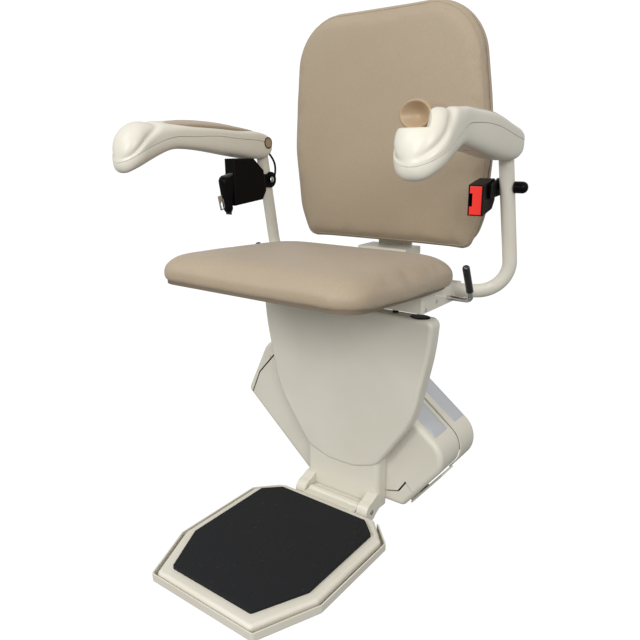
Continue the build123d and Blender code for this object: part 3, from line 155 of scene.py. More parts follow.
def rounded_outline(corners, radii, count):
    """A polygon whose corners are arcs. An arc touches its two sides a radius over the half angle's
    tangent from the corner, and its points turn from one touch to the other about its centre. The
    whole loop is read again at equal steps."""
    corners = np.array(corners, float)
    turns = np.linspace(0, 1, 25)[:, None]
    loop = []
    for k, radius in enumerate(radii):
        corner = corners[k]
        back = corners[k - 1] - corner
        ahead = corners[(k + 1) % len(corners)] - corner
        back /= np.linalg.norm(back)
        ahead /= np.linalg.norm(ahead)
        half = math.acos(np.clip(back @ ahead, -1, 1)) / 2
        middle = (back + ahead) / np.linalg.norm(back + ahead)
        centre = corner + middle * radius / math.sin(half)
        start = corner + back * radius / math.tan(half) - centre
        end = corner + ahead * radius / math.tan(half) - centre
        sweep = math.pi - 2 * half
        arc = np.sin((1 - turns) * sweep) * start + np.sin(turns * sweep) * end
        loop.append(centre + arc / math.sin(sweep))
    line = np.vstack(loop)
    line = np.vstack([line, line[:1]])
    run = np.concatenate([[0], np.cumsum(np.linalg.norm(np.diff(line, axis=0), axis=1))])
    at = np.linspace(0, run[-1], count, endpoint=False)
    return np.stack([np.interp(at, run, line[:, 0]), np.interp(at, run, line[:, 1])], -1)


def outwards(outline):
    """The outward unit normals of an anticlockwise outline: each point's chord, turned by a right angle."""
    chord = np.roll(outline, -1, 0) - np.roll(outline, 1, 0)
    normal = np.stack([chord[:, 1], -chord[:, 0]], -1)
    return normal / np.linalg.norm(normal, axis=1, keepdims=True)


def on_plane(flat, height, origin, across, up, out):
    """Plane points and a height over them, carried into the datum: origin + x across + y up + height out."""
    flat = np.asarray(flat)
    height = np.asarray(height)
    return origin + flat[..., :1] * across + flat[..., 1:2] * up + height[..., None] * out


def pad_rings(outline, rim, rise, roll, low_edge, crown):
    """Rings of a stuffed pad. From the middle of its base they grow to the outline, turn round the low
    edge on a quarter circle, climb to the rim and roll in over the top on a quarter ellipse, roll wide
    and rise high, then close over the crown, which falls off as the squared share of the way out. Where
    the outline lies near its middle, the insets shrink with the distance."""
    grow = np.linspace(0.04, 1, 14)
    turn = np.linspace(0, math.pi / 2, 7)[1:]
    over = np.linspace(0, math.pi / 2, 24)
    inward = np.linspace(0.97, 0.03, 18)
    inset = np.concatenate(
        [
            np.full_like(grow, low_edge),
            low_edge * (1 - np.sin(turn)),
            roll * (1 - np.cos(over)),
            np.full_like(inward, roll),
        ]
    )
    height = np.concatenate(
        [
            np.zeros_like(grow),
            low_edge * (1 - np.cos(turn)),
            rim + (rise * np.sin(over)),
            rim + rise + crown * (1 - inward**2),
        ]
    )
    share = np.concatenate([grow, np.ones_like(turn), np.ones_like(over), inward])
    middle = outline.mean(0)
    near = np.linalg.norm(outline - middle, axis=1)
    fit = np.minimum(1.0, near / (near.max() * 0.6))
    ring = outline[None] - outwards(outline)[None] * (inset[:, None] * fit[None])[..., None]
    flat = middle + (ring - middle) * share[:, None, None]
    return flat, np.repeat(height[:, None], len(outline), 1)


VOXEL = 0.005
STUFFING_PRESSURE = 4.0
STUFFING_STEPS = 20


def inflated(piece, cap):
    """A stuffed skin: the piece is remeshed to even faces and blown up as cloth without gravity, each
    point's way is held to the cap in metres, and the result is smoothed and divided once."""
    modified(piece, "REMESH", mode="VOXEL", voxel_size=VOXEL)
    scene = bpy.context.scene
    count = len(piece.data.vertices)
    start = np.empty(count * 3)
    piece.data.vertices.foreach_get("co", start)
    cloth = piece.modifiers.new("stuffing", "CLOTH")
    cloth.settings.use_pressure = True
    cloth.settings.uniform_pressure_force = STUFFING_PRESSURE
    cloth.settings.effector_weights.gravity = 0
    cloth.point_cache.frame_start = 1
    cloth.point_cache.frame_end = STUFFING_STEPS
    for step in range(1, STUFFING_STEPS + 1):
        scene.frame_set(step)
    graph = bpy.context.evaluated_depsgraph_get()
    blown = np.empty(count * 3)
    piece.evaluated_get(graph).data.vertices.foreach_get("co", blown)
    piece.modifiers.clear()
    scene.frame_set(1)
    way = (blown - start).reshape(-1, 3)
    far = np.linalg.norm(way, axis=1, keepdims=True)
    way *= np.minimum(1, cap / np.maximum(far, 1e-9))
    piece.data.vertices.foreach_set("co", (start.reshape(-1, 3) + way).ravel())
    modified(piece, "SMOOTH", factor=0.5, iterations=6)
    modified(piece, "SUBSURF", levels=1, render_levels=1)
    piece.data.polygons.foreach_set("use_smooth", [True] * len(piece.data.polygons))


# ---- shader values and finishes ----
class Value:
    """A shader socket with arithmetic: an operation on it adds a Math node."""

    def __init__(self, finish, socket):
        self.finish = finish
        self.socket = socket

    def maths(self, operation, other, turned=False):
        terms = (other, self) if turned else (self, other)
        return self.finish.node("ShaderNodeMath", {"operation": operation}, dict(enumerate(terms)))

    def __add__(self, other):
        return self.maths("ADD", other)

    __radd__ = __add__

    def __mul__(self, other):
        return self.maths("MULTIPLY", other)

    def __sub__(self, other):
        return self.maths("SUBTRACT", other)

    def __rsub__(self, other):
        return self.maths("SUBTRACT", other, turned=True)

    def ramp(self, low, high):
        """0 at low, 1 at high, eased between them."""
        return self.finish.node(
            "ShaderNodeMapRange",
            {"interpolation_type": "SMOOTHSTEP"},
            {"Value": self, "From Min": low, "From Max": high},
        )


class Finish:
    """A material: a Principled shader, and the nodes that vary it."""

    def __init__(self, name, colour, rough, **fixed):
        self.material = bpy.data.materials.new(name)
        self.material.use_nodes = True
        self.tree = self.material.node_tree
        self.shader = self.tree.nodes["Principled BSDF"]
        self.colour = (*colour, 1.0)
        self.set("Base Color", self.colour)
        self.set("Roughness", rough)
        for key, value in fixed.items():
            self.set(key.replace("_", " "), value)
        self.here = self.node("ShaderNodeTexCoord", {}, {}, "Object")

    def node(self, kind, settings, values, output=0):
        """Any node: its settings come first, then the numbers or links of its sockets."""
        node = self.tree.nodes.new(kind)
        for key, value in settings.items():
            setattr(node, key, value)
        for key, value in values.items():
            self.join(node.inputs[key], value)
        return Value(self, node.outputs[output])

    def join(self, socket, value):
        if isinstance(value, Value):
            self.tree.links.new(value.socket, socket)
        else:
            socket.default_value = value

    def set(self, key, value):
        self.join(self.shader.inputs[key], value)

    def noise(self, scale, detail=2.0, where=None):
        at = where or self.here
        return self.node("ShaderNodeTexNoise", {}, {"Vector": at, "Scale": scale, "Detail": detail})

    def cells(self, scale):
        return self.node("ShaderNodeTexVoronoi", {}, {"Vector": self.here, "Scale": scale})

    def bands(self, direction, scale):
        settings = {"wave_type": "BANDS", "bands_direction": direction}
        return self.node("ShaderNodeTexWave", settings, {"Vector": self.here, "Scale": scale})

    def mix(self, share, low, high):
        """A colour between two, by a share of the way."""
        return self.node("ShaderNodeMix", {"data_type": "RGBA"}, {"Factor": share, 6: low, 7: high}, 2)

    def tinted(self, share, factor):
        """The finish's colour, darkened or lightened by the factor where the share is 1."""
        other = tuple(min(1.0, c * f) for c, f in zip(self.colour[:3], factor)) + (1.0,)
        self.set("Base Color", self.mix(share, self.colour, other))

    def relief(self, height, depth):
        """A bump of that depth in metres."""
        bump = self.node("ShaderNodeBump", {}, {"Height": height, "Distance": depth, "Strength": 1.0})
        self.set("Normal", bump)


FLOW_TINT = (0.955, 0.95, 0.935)
COAT_TINT = (0.965, 0.96, 0.945)
DRAWN_TINT = (0.93, 0.93, 0.93)
WORN_TINT = (0.93, 0.915, 0.89)
CREASE_SHADE = 0.72
RIB_TINT = (1.9, 1.9, 2.0)


def moulded(name, colour, rough, grain=0.00004, size=900.0, **fixed):
    """Moulded plastic: faint flow in the colour, a fine orange-peel skin and uneven gloss. The skin's
    grain is so many metres deep, and its noise has so many cells to the metre."""
    finish = Finish(name, colour, rough, **fixed)
    flow = finish.noise(7.0, 3.0)
    skin_grain = finish.noise(size, 2.0)
    finish.tinted(flow.ramp(0.35, 0.7), FLOW_TINT)
    finish.set("Roughness", rough + (skin_grain - 0.5) * 0.12 + (flow - 0.5) * 0.1)
    finish.relief(skin_grain, grain)
    return finish.material


def coated(name, colour, rough, **fixed):
    """Powder coat on steel: a wavy skin with pin-sized dimples."""
    finish = Finish(name, colour, rough, **fixed)
    wave = finish.noise(420.0, 1.0)
    fine = finish.noise(1900.0, 1.0)
    finish.tinted(finish.noise(9.0, 2.0).ramp(0.4, 0.7), COAT_TINT)
    finish.set("Roughness", rough + (fine - 0.5) * 0.14)
    finish.relief(wave * 0.7 + fine * 0.3, 0.00007)
    return finish.material


def vinyl(name, colour, rough):
    """Upholstery vinyl: a pebbled grain of small cells with creases between them, broken by finer noise,
    a little darker in the creases and shinier on the pebbles."""
    finish = Finish(name, colour, rough, Sheen_Weight=0.12, Sheen_Roughness=0.5)
    drift = finish.noise(55.0, 2.0)
    shift = {0: drift, 1: (0.0016,) * 3, 2: finish.here}
    warp = finish.node("ShaderNodeVectorMath", {"operation": "MULTIPLY_ADD"}, shift)
    creases = {"feature": "DISTANCE_TO_EDGE"}
    edge = finish.node("ShaderNodeTexVoronoi", creases, {"Vector": warp, "Scale": 620.0})
    pebble = edge.ramp(0.0, 0.22)
    fine = finish.noise(2300.0, 2.0)
    broad = finish.noise(5.0, 3.0)
    worn = tuple(c * f for c, f in zip(colour, WORN_TINT)) + (1.0,)
    base = finish.mix(broad.ramp(0.3, 0.75), finish.colour, worn)
    dark = tuple(c * CREASE_SHADE for c in colour) + (1.0,)
    finish.set("Base Color", finish.mix((1 - pebble) * 0.55, base, dark))
    finish.set("Roughness", rough + 0.1 - pebble * 0.1 + (fine - 0.5) * 0.08)
    finish.relief(pebble * 0.75 + fine * 0.25, 0.00011)
    return finish.material


def tread(name, colour):
    """Safety flooring: near-black, with a rough pebbled skin and a few pale mineral flecks."""
    finish = Finish(name, colour, 0.72, Specular_IOR_Level=0.3)
    pips = finish.cells(520.0)
    flecks = finish.cells(230.0)
    pick = finish.noise(140.0, 1.0)
    fleck = (1 - flecks.ramp(0.1, 0.17)) * pick.ramp(0.58, 0.62)
    finish.set("Base Color", finish.mix(fleck, finish.colour, (0.05, 0.05, 0.054, 1)))
    finish.set("Roughness", 0.78 - fleck * 0.35)
    finish.relief(pips, 0.00025)
    return finish.material


def metal(name, colour, rough, streak=(900.0, 900.0, 40.0)):
    """Bare or plated metal: long fine streaks in the gloss."""
    finish = Finish(name, colour, rough, Metallic=1.0)
    drawn = finish.node("ShaderNodeMapping", {}, {"Vector": finish.here, "Scale": streak})
    lines = finish.noise(1.0, 3.0, drawn)
    finish.tinted(lines.ramp(0.35, 0.65), DRAWN_TINT)
    finish.set("Roughness", rough + (lines - 0.5) * 0.15)
    finish.relief(lines, 0.00002)
    return finish.material


def woven(name, colour):
    """Belt webbing: a close grid of ribs, from two crossed waves."""
    finish = Finish(name, colour, 0.7, Sheen_Weight=0.2)
    weave = finish.bands("X", 260.0) * finish.bands("Z", 330.0)
    finish.tinted(weave, RIB_TINT)
    finish.set("Roughness", 0.82 - weave * 0.2)
    finish.relief(weave, 0.0002)
    return finish.material


IVORY = (0.665, 0.635, 0.545)
IVORY_STEEL = (0.68, 0.65, 0.555)
TAN = (0.397, 0.316, 0.220)
BLACK = (0.0022, 0.0020, 0.0026)
SOFT_BLACK = (0.0025, 0.0025, 0.003)
MATERIALS = {
    "ivory_plastic": moulded("ivory_plastic", IVORY, 0.40, Coat_Weight=0.12, Coat_Roughness=0.3),
    "ivory_paint": coated("ivory_paint", IVORY_STEEL, 0.34, Coat_Weight=0.2, Coat_Roughness=0.2),
    "tan_vinyl": vinyl("tan_vinyl", TAN, 0.46),
    "tan_plastic": moulded("tan_plastic", (0.36, 0.255, 0.155), 0.42, 0.00006, 700.0),
    "tread_rubber": tread("tread_rubber", (0.0065, 0.007, 0.0085)),
    "black_plastic": moulded("black_plastic", BLACK, 0.36, 0.00006, 1200.0, Specular_IOR_Level=0.1),
    "black_rubber": moulded("black_rubber", SOFT_BLACK, 0.45, 0.00008, 1500.0, Specular_IOR_Level=0.25),
    "bright_steel": metal("bright_steel", (0.72, 0.72, 0.74), 0.14),
    "plain_steel": metal("plain_steel", (0.46, 0.46, 0.47), 0.36),
    "cast_alloy": metal("cast_alloy", (0.48, 0.49, 0.5), 0.5, (300.0, 300.0, 300.0)),
    "gear_bronze": metal("gear_bronze", (0.62, 0.40, 0.17), 0.35),
    "red_plastic": moulded("red_plastic", (0.80, 0.022, 0.012), 0.3, 0.00003, 900.0, Coat_Weight=0.3),
    "grip_vinyl": moulded(
        "grip_vinyl", (0.010, 0.010, 0.012), 0.2, 0.00003, 500.0, Coat_Weight=0.7, Coat_Roughness=0.08
    ),
    "roller_nylon": moulded("roller_nylon", (0.62, 0.62, 0.58), 0.45),
    "battery_case": moulded("battery_case", (0.03, 0.032, 0.037), 0.55),
    "circuit_board": moulded("circuit_board", (0.02, 0.11, 0.04), 0.35, 0.0002, 300.0),
    "webbing": woven("webbing", (0.012, 0.012, 0.013)),
    "back_shell": moulded("back_shell", (0.16, 0.125, 0.085), 0.6, 0.00015, 800.0),
}
LABEL = moulded("bare_label", (0.50, 0.51, 0.53), 0.35, 0.00002, 600.0)


def finished(piece, body, slot, nodes=()):
    """Gives a new piece the material of its slot, the body it rides on and the nodes it stands for."""
    piece.data.materials.clear()
    piece.data.materials.append(MATERIALS[slot])
    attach(piece, body)
    if nodes:
        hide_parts(*nodes)


for part in frame["record"]["subparts"]:
    node = frame["nodes"][part["node"]]
    node.data.materials.clear()
    node.data.materials.append(MATERIALS[part["material_slot"]])
for name in ("retractor_frame", "buckle_stalk"):
    frame["nodes"][name].data.materials[0] = MATERIALS["black_plastic"]

# ---- the camera stands where the photograph's did ----
AZIMUTH = math.radians(37.05)
ELEVATION = math.radians(15.82)
ROLL = math.radians(-0.61)
CAMERA_PLACE = (0.6666, -1.1000, 0.5922)
FOCAL_SHARE = 617.1 / 640  # focal length over the picture's width
SENSOR = 36.0
level_back = np.array([math.sin(AZIMUTH), -math.cos(AZIMUTH), 0.0])
back = level_back * math.cos(ELEVATION) + UPWARD * math.sin(ELEVATION)
level_right = np.array([math.cos(AZIMUTH), math.sin(AZIMUTH), 0.0])
level_up = np.cross(back, level_right)
right = level_right * math.cos(ROLL) + level_up * math.sin(ROLL)
up = level_up * math.cos(ROLL) - level_right * math.sin(ROLL)
lens = bpy.data.cameras.new("photo_camera")
lens.sensor_width = SENSOR
lens.lens = FOCAL_SHARE * SENSOR
camera = bpy.data.objects.new("photo_camera", lens)
stand = np.eye(4)
stand[:3, 0] = right
stand[:3, 1] = up
stand[:3, 2] = back
stand[:3, 3] = CAMERA_PLACE
camera.matrix_world = Matrix(stand.tolist())
bpy.context.scene.collection.objects.link(camera)
bpy.context.scene.camera = camera


# ---- cushions ----
def tilted(degrees, flat_up, flat_out):
    """The two directions of a plane that leans by an angle in the y-z plane: each turns towards the other."""
    lean = math.radians(degrees)
    turned_up = math.cos(lean) * np.array(flat_up) - math.sin(lean) * np.array(flat_out)
    turned_out = math.cos(lean) * np.array(flat_out) + math.sin(lean) * np.array(flat_up)
    return turned_up, turned_out


SEAT_UP, SEAT_OUT = tilted(2.5, (0.0, 1.0, 0.0), (0.0, 0.0, 1.0))
SEAT_LIFT = 2.5
SEAT_SWELL = 0.006
SEAT_ORIGIN = np.array([0.0, 72.0, 454.0])
SEAT_CORNERS = [(-216, -362), (216, -362), (226, -222), (223, 18), (-223, 18), (-226, -222)]
SEAT_RADII = [50, 54, 250, 96, 96, 250]
BACK_UP, BACK_OUT = tilted(-2.0, (0.0, 0.0, 1.0), (0.0, -1.0, 0.0))
BACK_PAD_SINK = 29.5
BACK_SWELL = 0.005
SHELL_START = 26.0
SHELL_STEP = 4.0
SHELL_CORNER = 60
SEAM_INSET = 9.0
SEAM_SINK = 8.0
BACK_ORIGIN = np.array([0.0, 127.0, 505.0])
BACK_CORNERS = [
    (-194, -3),
    (194, -3),
    (218, 62),
    (228, 190),
    (219, 280),
    (196, 448),
    (-196, 448),
    (-219, 280),
    (-228, 190),
    (-218, 62),
]
BACK_RADII = [20, 20, 150, 300, 300, 112, 112, 300, 300, 150]

seat_outline = rounded_outline(SEAT_CORNERS, SEAT_RADII, 280)
flat, height = pad_rings(seat_outline, rim=17.0, rise=28.0, roll=74.0, low_edge=7.0, crown=4.0)
seat_rings = on_plane(flat, height + SEAT_LIFT, SEAT_ORIGIN, SIDE, SEAT_UP, SEAT_OUT)
seat_pad = skin("seat_pad", place(seat_rings))
inflated(seat_pad, SEAT_SWELL)
finished(seat_pad, "seat", "tan_vinyl", ["seat_cushion"])

back_outline = rounded_outline(BACK_CORNERS, BACK_RADII, 320)
flat, height = pad_rings(back_outline, rim=9.0, rise=16.0, roll=26.0, low_edge=4.0, crown=5.0)
back_rings = on_plane(flat, height - BACK_PAD_SINK, BACK_ORIGIN, SIDE, BACK_UP, BACK_OUT)
back_pad = skin("back_pad", place(back_rings))
inflated(back_pad, BACK_SWELL)
finished(back_pad, "chair", "tan_vinyl", ["back_cushion"])

rear_outline = rounded_outline(BACK_CORNERS, [max(radius, SHELL_CORNER) for radius in BACK_RADII], 320)
rear_outline -= outwards(rear_outline) * SHELL_STEP
flat, height = pad_rings(rear_outline, rim=2.0, rise=30.0, roll=46.0, low_edge=1.5, crown=2.0)
shell_rings = on_plane(flat, height + SHELL_START, BACK_ORIGIN, SIDE, BACK_UP, -BACK_OUT)
back_shell = skin("back_shell", place(shell_rings))
finished(back_shell, "chair", "tan_vinyl", ["back_board"])


def loop_tube(name, target, ring, lift, radius):
    """A round cord round a pad: its line is the ring, dropped onto the target's nearest surface and
    evened out four times by each point's neighbours."""
    line = bpy.data.objects.new(name, bpy.data.meshes.new(name))
    bpy.context.scene.collection.objects.link(line)
    line.data.from_pydata(ring.tolist(), [], [])
    modified(line, "SHRINKWRAP", target=target, wrap_method="NEAREST_SURFACEPOINT", offset=lift)
    spots = np.empty(len(ring) * 3)
    line.data.vertices.foreach_get("co", spots)
    bpy.data.objects.remove(line)
    path = spots.reshape(-1, 3)
    for _ in range(4):
        path = (np.roll(path, 1, 0) + 2 * path + np.roll(path, -1, 0)) / 4
    along = np.roll(path, -1, 0) - np.roll(path, 1, 0)
    along /= np.linalg.norm(along, axis=1, keepdims=True)
    out = np.cross(along, [0.0, 1.0, 0.0])
    out /= np.linalg.norm(out, axis=1, keepdims=True)
    third = np.cross(along, out)
    angle = np.linspace(0, 2 * math.pi, 10, endpoint=False)[None, :, None]
    rings = path[:, None] + radius * (np.cos(angle) * out[:, None] + np.sin(angle) * third[:, None])
    return skin(name, rings, loop=True)


seam_line = back_outline - outwards(back_outline) * SEAM_INSET
seam_height = np.full(len(back_outline), -SEAM_SINK)
seam_ring = place(on_plane(seam_line, seam_height, BACK_ORIGIN, SIDE, BACK_UP, BACK_OUT))
welt = loop_tube("back_seam", back_pad, seam_ring, lift=0.0002, radius=0.0009)
finished(welt, "chair", "tan_vinyl")

# ---- arms: an upper and a lower half each, which meet on the seam ----
ARM_TOP = [
    (95, 718),
    (71, 725),
    (33, 731.5),
    (-20, 738),
    (-85, 742.5),
    (-149, 743.5),
    (-185, 742.5),
    (-215, 741.5),
    (-262, 738),
    (-285, 736),
]
ARM_SEAM = [
    (95, 702),
    (77, 706),
    (40, 712),
    (-20, 719.5),
    (-80, 724),
    (-120, 723),
    (-165, 720),
    (-205, 711.5),
    (-250, 693.5),
    (-285, 672),
]
ARM_UNDER = [
    (95, 676),
    (75, 674),
    (42, 673.5),
    (-50, 684.5),
    (-150, 696),
    (-180, 694),
    (-235, 670.5),
    (-285, 650),
]
ARM_IN = 250.0
ARM_OUT = 302.0
ARM_MID = 276.0
ARM_HALF = 26.0
PARTING = 0.35
BOX_POWER = 4.2
BOX_POWER_FALL = 1.8
REAR_TIP = 94.0
REAR_WIDTH_RUN = 14.0
REAR_HEIGHT_RUN = 28.0
NOSE_TIP = -283.0
NOSE_WIDTH_RUN = 39.0
NOSE_TOP_RUN = 51.0
NOSE_UNDER_RUN = 15.0
NOSE_FLARE = 26.0
NOSE_TUCK = 2.0
VALLEY_Y = -207.0
VALLEY_Z = 742.0
VALLEY_SLOPE = 0.72
VALLEY_TWIST = 0.16
VALLEY_DIP = 13.0
VALLEY_DEPTH = 2.7
VALLEY_WIDTH = 3.6
SWELL_HEIGHT = 2.2
SWELL_RUN = 14.0
RIM_HEIGHT = 0.9
RIM_AWAY = 9.0
RIM_WIDTH = 6.0
LEAN_SEAM = 4.8
LEAN_TOP = (4.4, -1.6)
LEAN_UNDER = (-1.0, -3.0)
NOTCH_FLOOR = 720.0
NOTCH_CLIMB = 6.0
NOTCH_WALL_X = 293.0
NOTCH_WALL_HIGH = 60.0
NOTCH_SOFT = 2.2


def ahead_of(y, start, run):
    """0 up to a place along the arm and 1 from a run in front of it, eased between."""
    return eased((start - y) / run)


def behind(y, start, run):
    """0 in front of a place along the arm and 1 from a run behind it, eased between."""
    return eased((y - start) / run)


def quarter(distance, length):
    """A quarter ellipse: 1 up to no distance, and almost nothing when the distance is the whole length."""
    return np.sqrt(np.clip(1 - (np.clip(distance, 0, length) / length) ** 2, 0.0016, 1))


def bell(distance, width):
    """1 at no distance, falling as e to the minus squared share of the width."""
    return np.exp(-((distance / width) ** 2))


def nose_relief(points, y, middle, seam, nose_height):
    """The upper half's points, moved along their normals. A plane slants up from front to rear across
    the nose: the skin swells in front of it, sinks in a valley along it and has a low rim behind it."""
    x = points[..., 0]
    z = points[..., 2]
    normal = np.cross(np.gradient(points, axis=0), np.gradient(points, axis=1))
    normal /= np.maximum(np.linalg.norm(normal, axis=-1, keepdims=True), 1e-6)
    outward = np.stack([x - middle[:, None], 0 * x, z - seam - 5], -1)
    normal *= np.sign((normal * outward).sum(-1, keepdims=True))
    outer_share = np.clip((x - 254) / 66, 0, 1)
    plane = VALLEY_Z + (VALLEY_SLOPE - VALLEY_TWIST * outer_share) * (y - VALLEY_Y)
    plane -= VALLEY_DIP * ahead_of(y, -238, 44)
    depth = (z - plane) / math.hypot(1, VALLEY_SLOPE)
    swell = SWELL_HEIGHT * eased(depth / SWELL_RUN) * ahead_of(y, -160, 20)
    valley = VALLEY_DEPTH * bell(depth, VALLEY_WIDTH) * ahead_of(y, -150, 30)
    rim = RIM_HEIGHT * bell(depth + RIM_AWAY, RIM_WIDTH) * ahead_of(y, -150, 60)
    fade = eased((z - seam) / 6) * nose_height[:, None]
    return points + normal * ((swell - valley + rim) * fade)[..., None]


def lean(points, y, seam, edge, upper):
    """Lifts the outer side and lowers the inner one in proportion to the distance from the middle line:
    by one amount on the seam, and by a further one that grows from the seam to the edge."""
    aside = np.clip((points[..., 0] - ARM_MID) / ARM_HALF, -1, 1.6)
    aside *= ahead_of(y, 60, 90) * behind(y, -268, 60)
    share = (points[..., 2] - seam) / (edge - seam)
    rear = behind(y, -195, 70)
    at_nose, at_rear = LEAN_TOP if upper else LEAN_UNDER
    points[..., 2] += aside * (LEAN_SEAM * rear + (at_nose + at_rear * rear) * share)


def cut_notch(points, y, seam):
    """Room for the rocker. Points well above the seam come down to a floor that climbs to the rear and
    has a wall on its outer and rear sides: the lower of the two heights, rounded where they meet."""
    high = points[..., 2]
    wall_foot = NOTCH_WALL_X + 0.75 * np.maximum(-245 - y, 0)
    wall = eased((points[..., 0] - wall_foot) / 10) + behind(y, -200, 12)
    floor = NOTCH_FLOOR + NOTCH_CLIMB * behind(y, -250, 50) + NOTCH_WALL_HIGH * wall
    over = np.clip((floor - high) / NOTCH_SOFT, -60, 60)
    lower = floor - NOTCH_SOFT * np.log1p(np.exp(over))
    points[..., 2] = np.where(high > seam + 6, np.minimum(high, lower), high)


def arm_rings(upper, notch):
    """Rings across an armrest's upper or lower half, from its rear end to its nose. Each is half a
    rounded box, |x/a|^n + |z/b|^n = 1, read at equal angles about its middle on the parting line, and
    closed by a flat row there. Its half width a and height b follow splines of y and shrink to nothing
    at the ends as quarter ellipses. n falls from 4.2 along the arm to 2.4 at the nose."""
    turn = np.linspace(0, math.pi, 140)
    y = (REAR_TIP + NOSE_TIP) / 2 + (REAR_TIP - NOSE_TIP) / 2 * np.cos(turn)
    nose_run = NOSE_TOP_RUN if upper else NOSE_UNDER_RUN
    nose_height = quarter(NOSE_TIP + nose_run - y, nose_run)
    nose_width = quarter(NOSE_TIP + NOSE_WIDTH_RUN - y, NOSE_WIDTH_RUN)
    rear_width = quarter(y - (REAR_TIP - REAR_WIDTH_RUN), REAR_WIDTH_RUN)
    rear_height = quarter(y - (REAR_TIP - REAR_HEIGHT_RUN), REAR_HEIGHT_RUN)
    outer = ARM_OUT + NOSE_FLARE * ahead_of(y, -95, 165)
    inner = ARM_IN + NOSE_TUCK * ahead_of(y, -200, 60)
    middle = (outer + inner) / 2
    half = (outer - inner) / 2 * nose_width * (0.45 + 0.55 * rear_width)
    station = y[:, None]
    seam = curve(ARM_SEAM, y)[:, None]
    edge = curve(ARM_TOP if upper else ARM_UNDER, y)[:, None]
    rise = (edge - seam) * (nose_height * rear_height)[:, None]
    power = (BOX_POWER - BOX_POWER_FALL * ahead_of(y, -150, 90))[:, None]
    theta = np.linspace(0, math.pi, 105)
    reach = (np.abs(np.cos(theta)) ** power + np.abs(np.sin(theta)) ** power) ** (-1 / power)
    x = middle[:, None] + half[:, None] * reach * np.cos(theta)
    z = seam + rise * reach * np.sin(theta)
    points = np.stack([x, station + 0 * x, z], -1)
    if upper:
        points = nose_relief(points, station, middle, seam, nose_height)
    lean(points, station, seam, edge, upper)
    if notch:
        cut_notch(points, station, seam)
    points[..., 2] += (PARTING if upper else -PARTING) * (1 - np.sin(theta))
    row = np.linspace(-0.97, 0.97, 15)[None, :, None]
    ends = points[:, [-1, 0]]
    flat = ends[:, :1] * (1 - row) / 2 + ends[:, 1:] * (1 + row) / 2
    return np.concatenate([points, flat], 1)


ROCKER_X = 276.0
ROCKER_Z = 736.0
ROCKER_FRONT = -246.0
ROCKER_BACK = -198.0
ROCKER_WIDE = 24.0
ROCKER_HIGH = 19.0
ROCKER_DISH = 12.0
ROCKER_LIP = 5.0


def rocker_rings():
    """The control rocker: ellipses about its axis. The front face is dished by a power of one minus the
    squared share of the way out, and its rim turns over on a quarter circle."""
    share = np.concatenate([np.linspace(0.03, 0.84, 16), np.linspace(0.86, 1.0, 9)])
    dish = ROCKER_DISH * np.clip(1 - (share / 0.85) ** 2, 0, 1) ** 1.3
    lip = ROCKER_LIP * (1 - np.sqrt(np.clip(1 - (np.clip(share - 0.86, 0, 0.14) / 0.14) ** 2, 0, 1)))
    front = ROCKER_FRONT + dish + lip
    side = np.linspace(ROCKER_FRONT + 8, ROCKER_BACK - 6, 8)
    rear = ROCKER_BACK - lip[::-1]
    y = np.concatenate([front, side, rear])
    size = np.concatenate([share, np.ones_like(side), share[::-1]])[:, None]
    angle = np.linspace(0, 2 * math.pi, 80, endpoint=False)[None]
    x = ROCKER_X + ROCKER_WIDE * size * np.cos(angle)
    z = ROCKER_Z + ROCKER_HIGH * size * np.sin(angle)
    return np.stack([x, y[:, None] + 0 * x, z], -1)


def mirrored(rings, hand):
    """The same rings on the sitter's left or right side: x changes sign with the hand."""
    rings = rings.copy()
    rings[..., 0] *= hand
    return rings


def rod_mesh(name, ends, radius, sides=48):
    """A straight round bar between two datum points, used only as a cutter."""
    start, end = (np.array(e, float) for e in ends)
    length = np.linalg.norm(end - start)
    axis = (end - start) / length
    other = np.cross(axis, [0.31, 0.52, 0.8])
    other /= np.linalg.norm(other)
    third = np.cross(axis, other)
    angle = np.linspace(0, 2 * math.pi, sides, endpoint=False)
    around = np.cos(angle)[:, None] * other + np.sin(angle)[:, None] * third
    rings = start + radius * around[None] + np.array([0, length])[:, None, None] * axis
    return skin(name, place(rings))


def box_mesh(name, low, high):
    """A plain block between two datum corners, used only as a cutter."""
    low = np.array(low, float)
    high = np.array(high, float)
    share = np.array([[0, 0], [1, 0], [1, 1], [0, 1]], float)
    base = np.concatenate([low[:2] + share * (high - low)[:2], np.full((4, 1), low[2])], 1)
    top = base + np.array([0, 0, high[2] - low[2]])
    return skin(name, place(np.stack([base, top])), smooth=False)


PAD_REAR = 52.0
PAD_FRONT = {"left": -158.0, "right": -186.0}
PAD_X = 275.0
PAD_HALF = 21.0
PAD_POWER = 2.6
PAD_LEAN = 5.6
PAD_DOME = 3.4
PAD_SWELL = 1.4


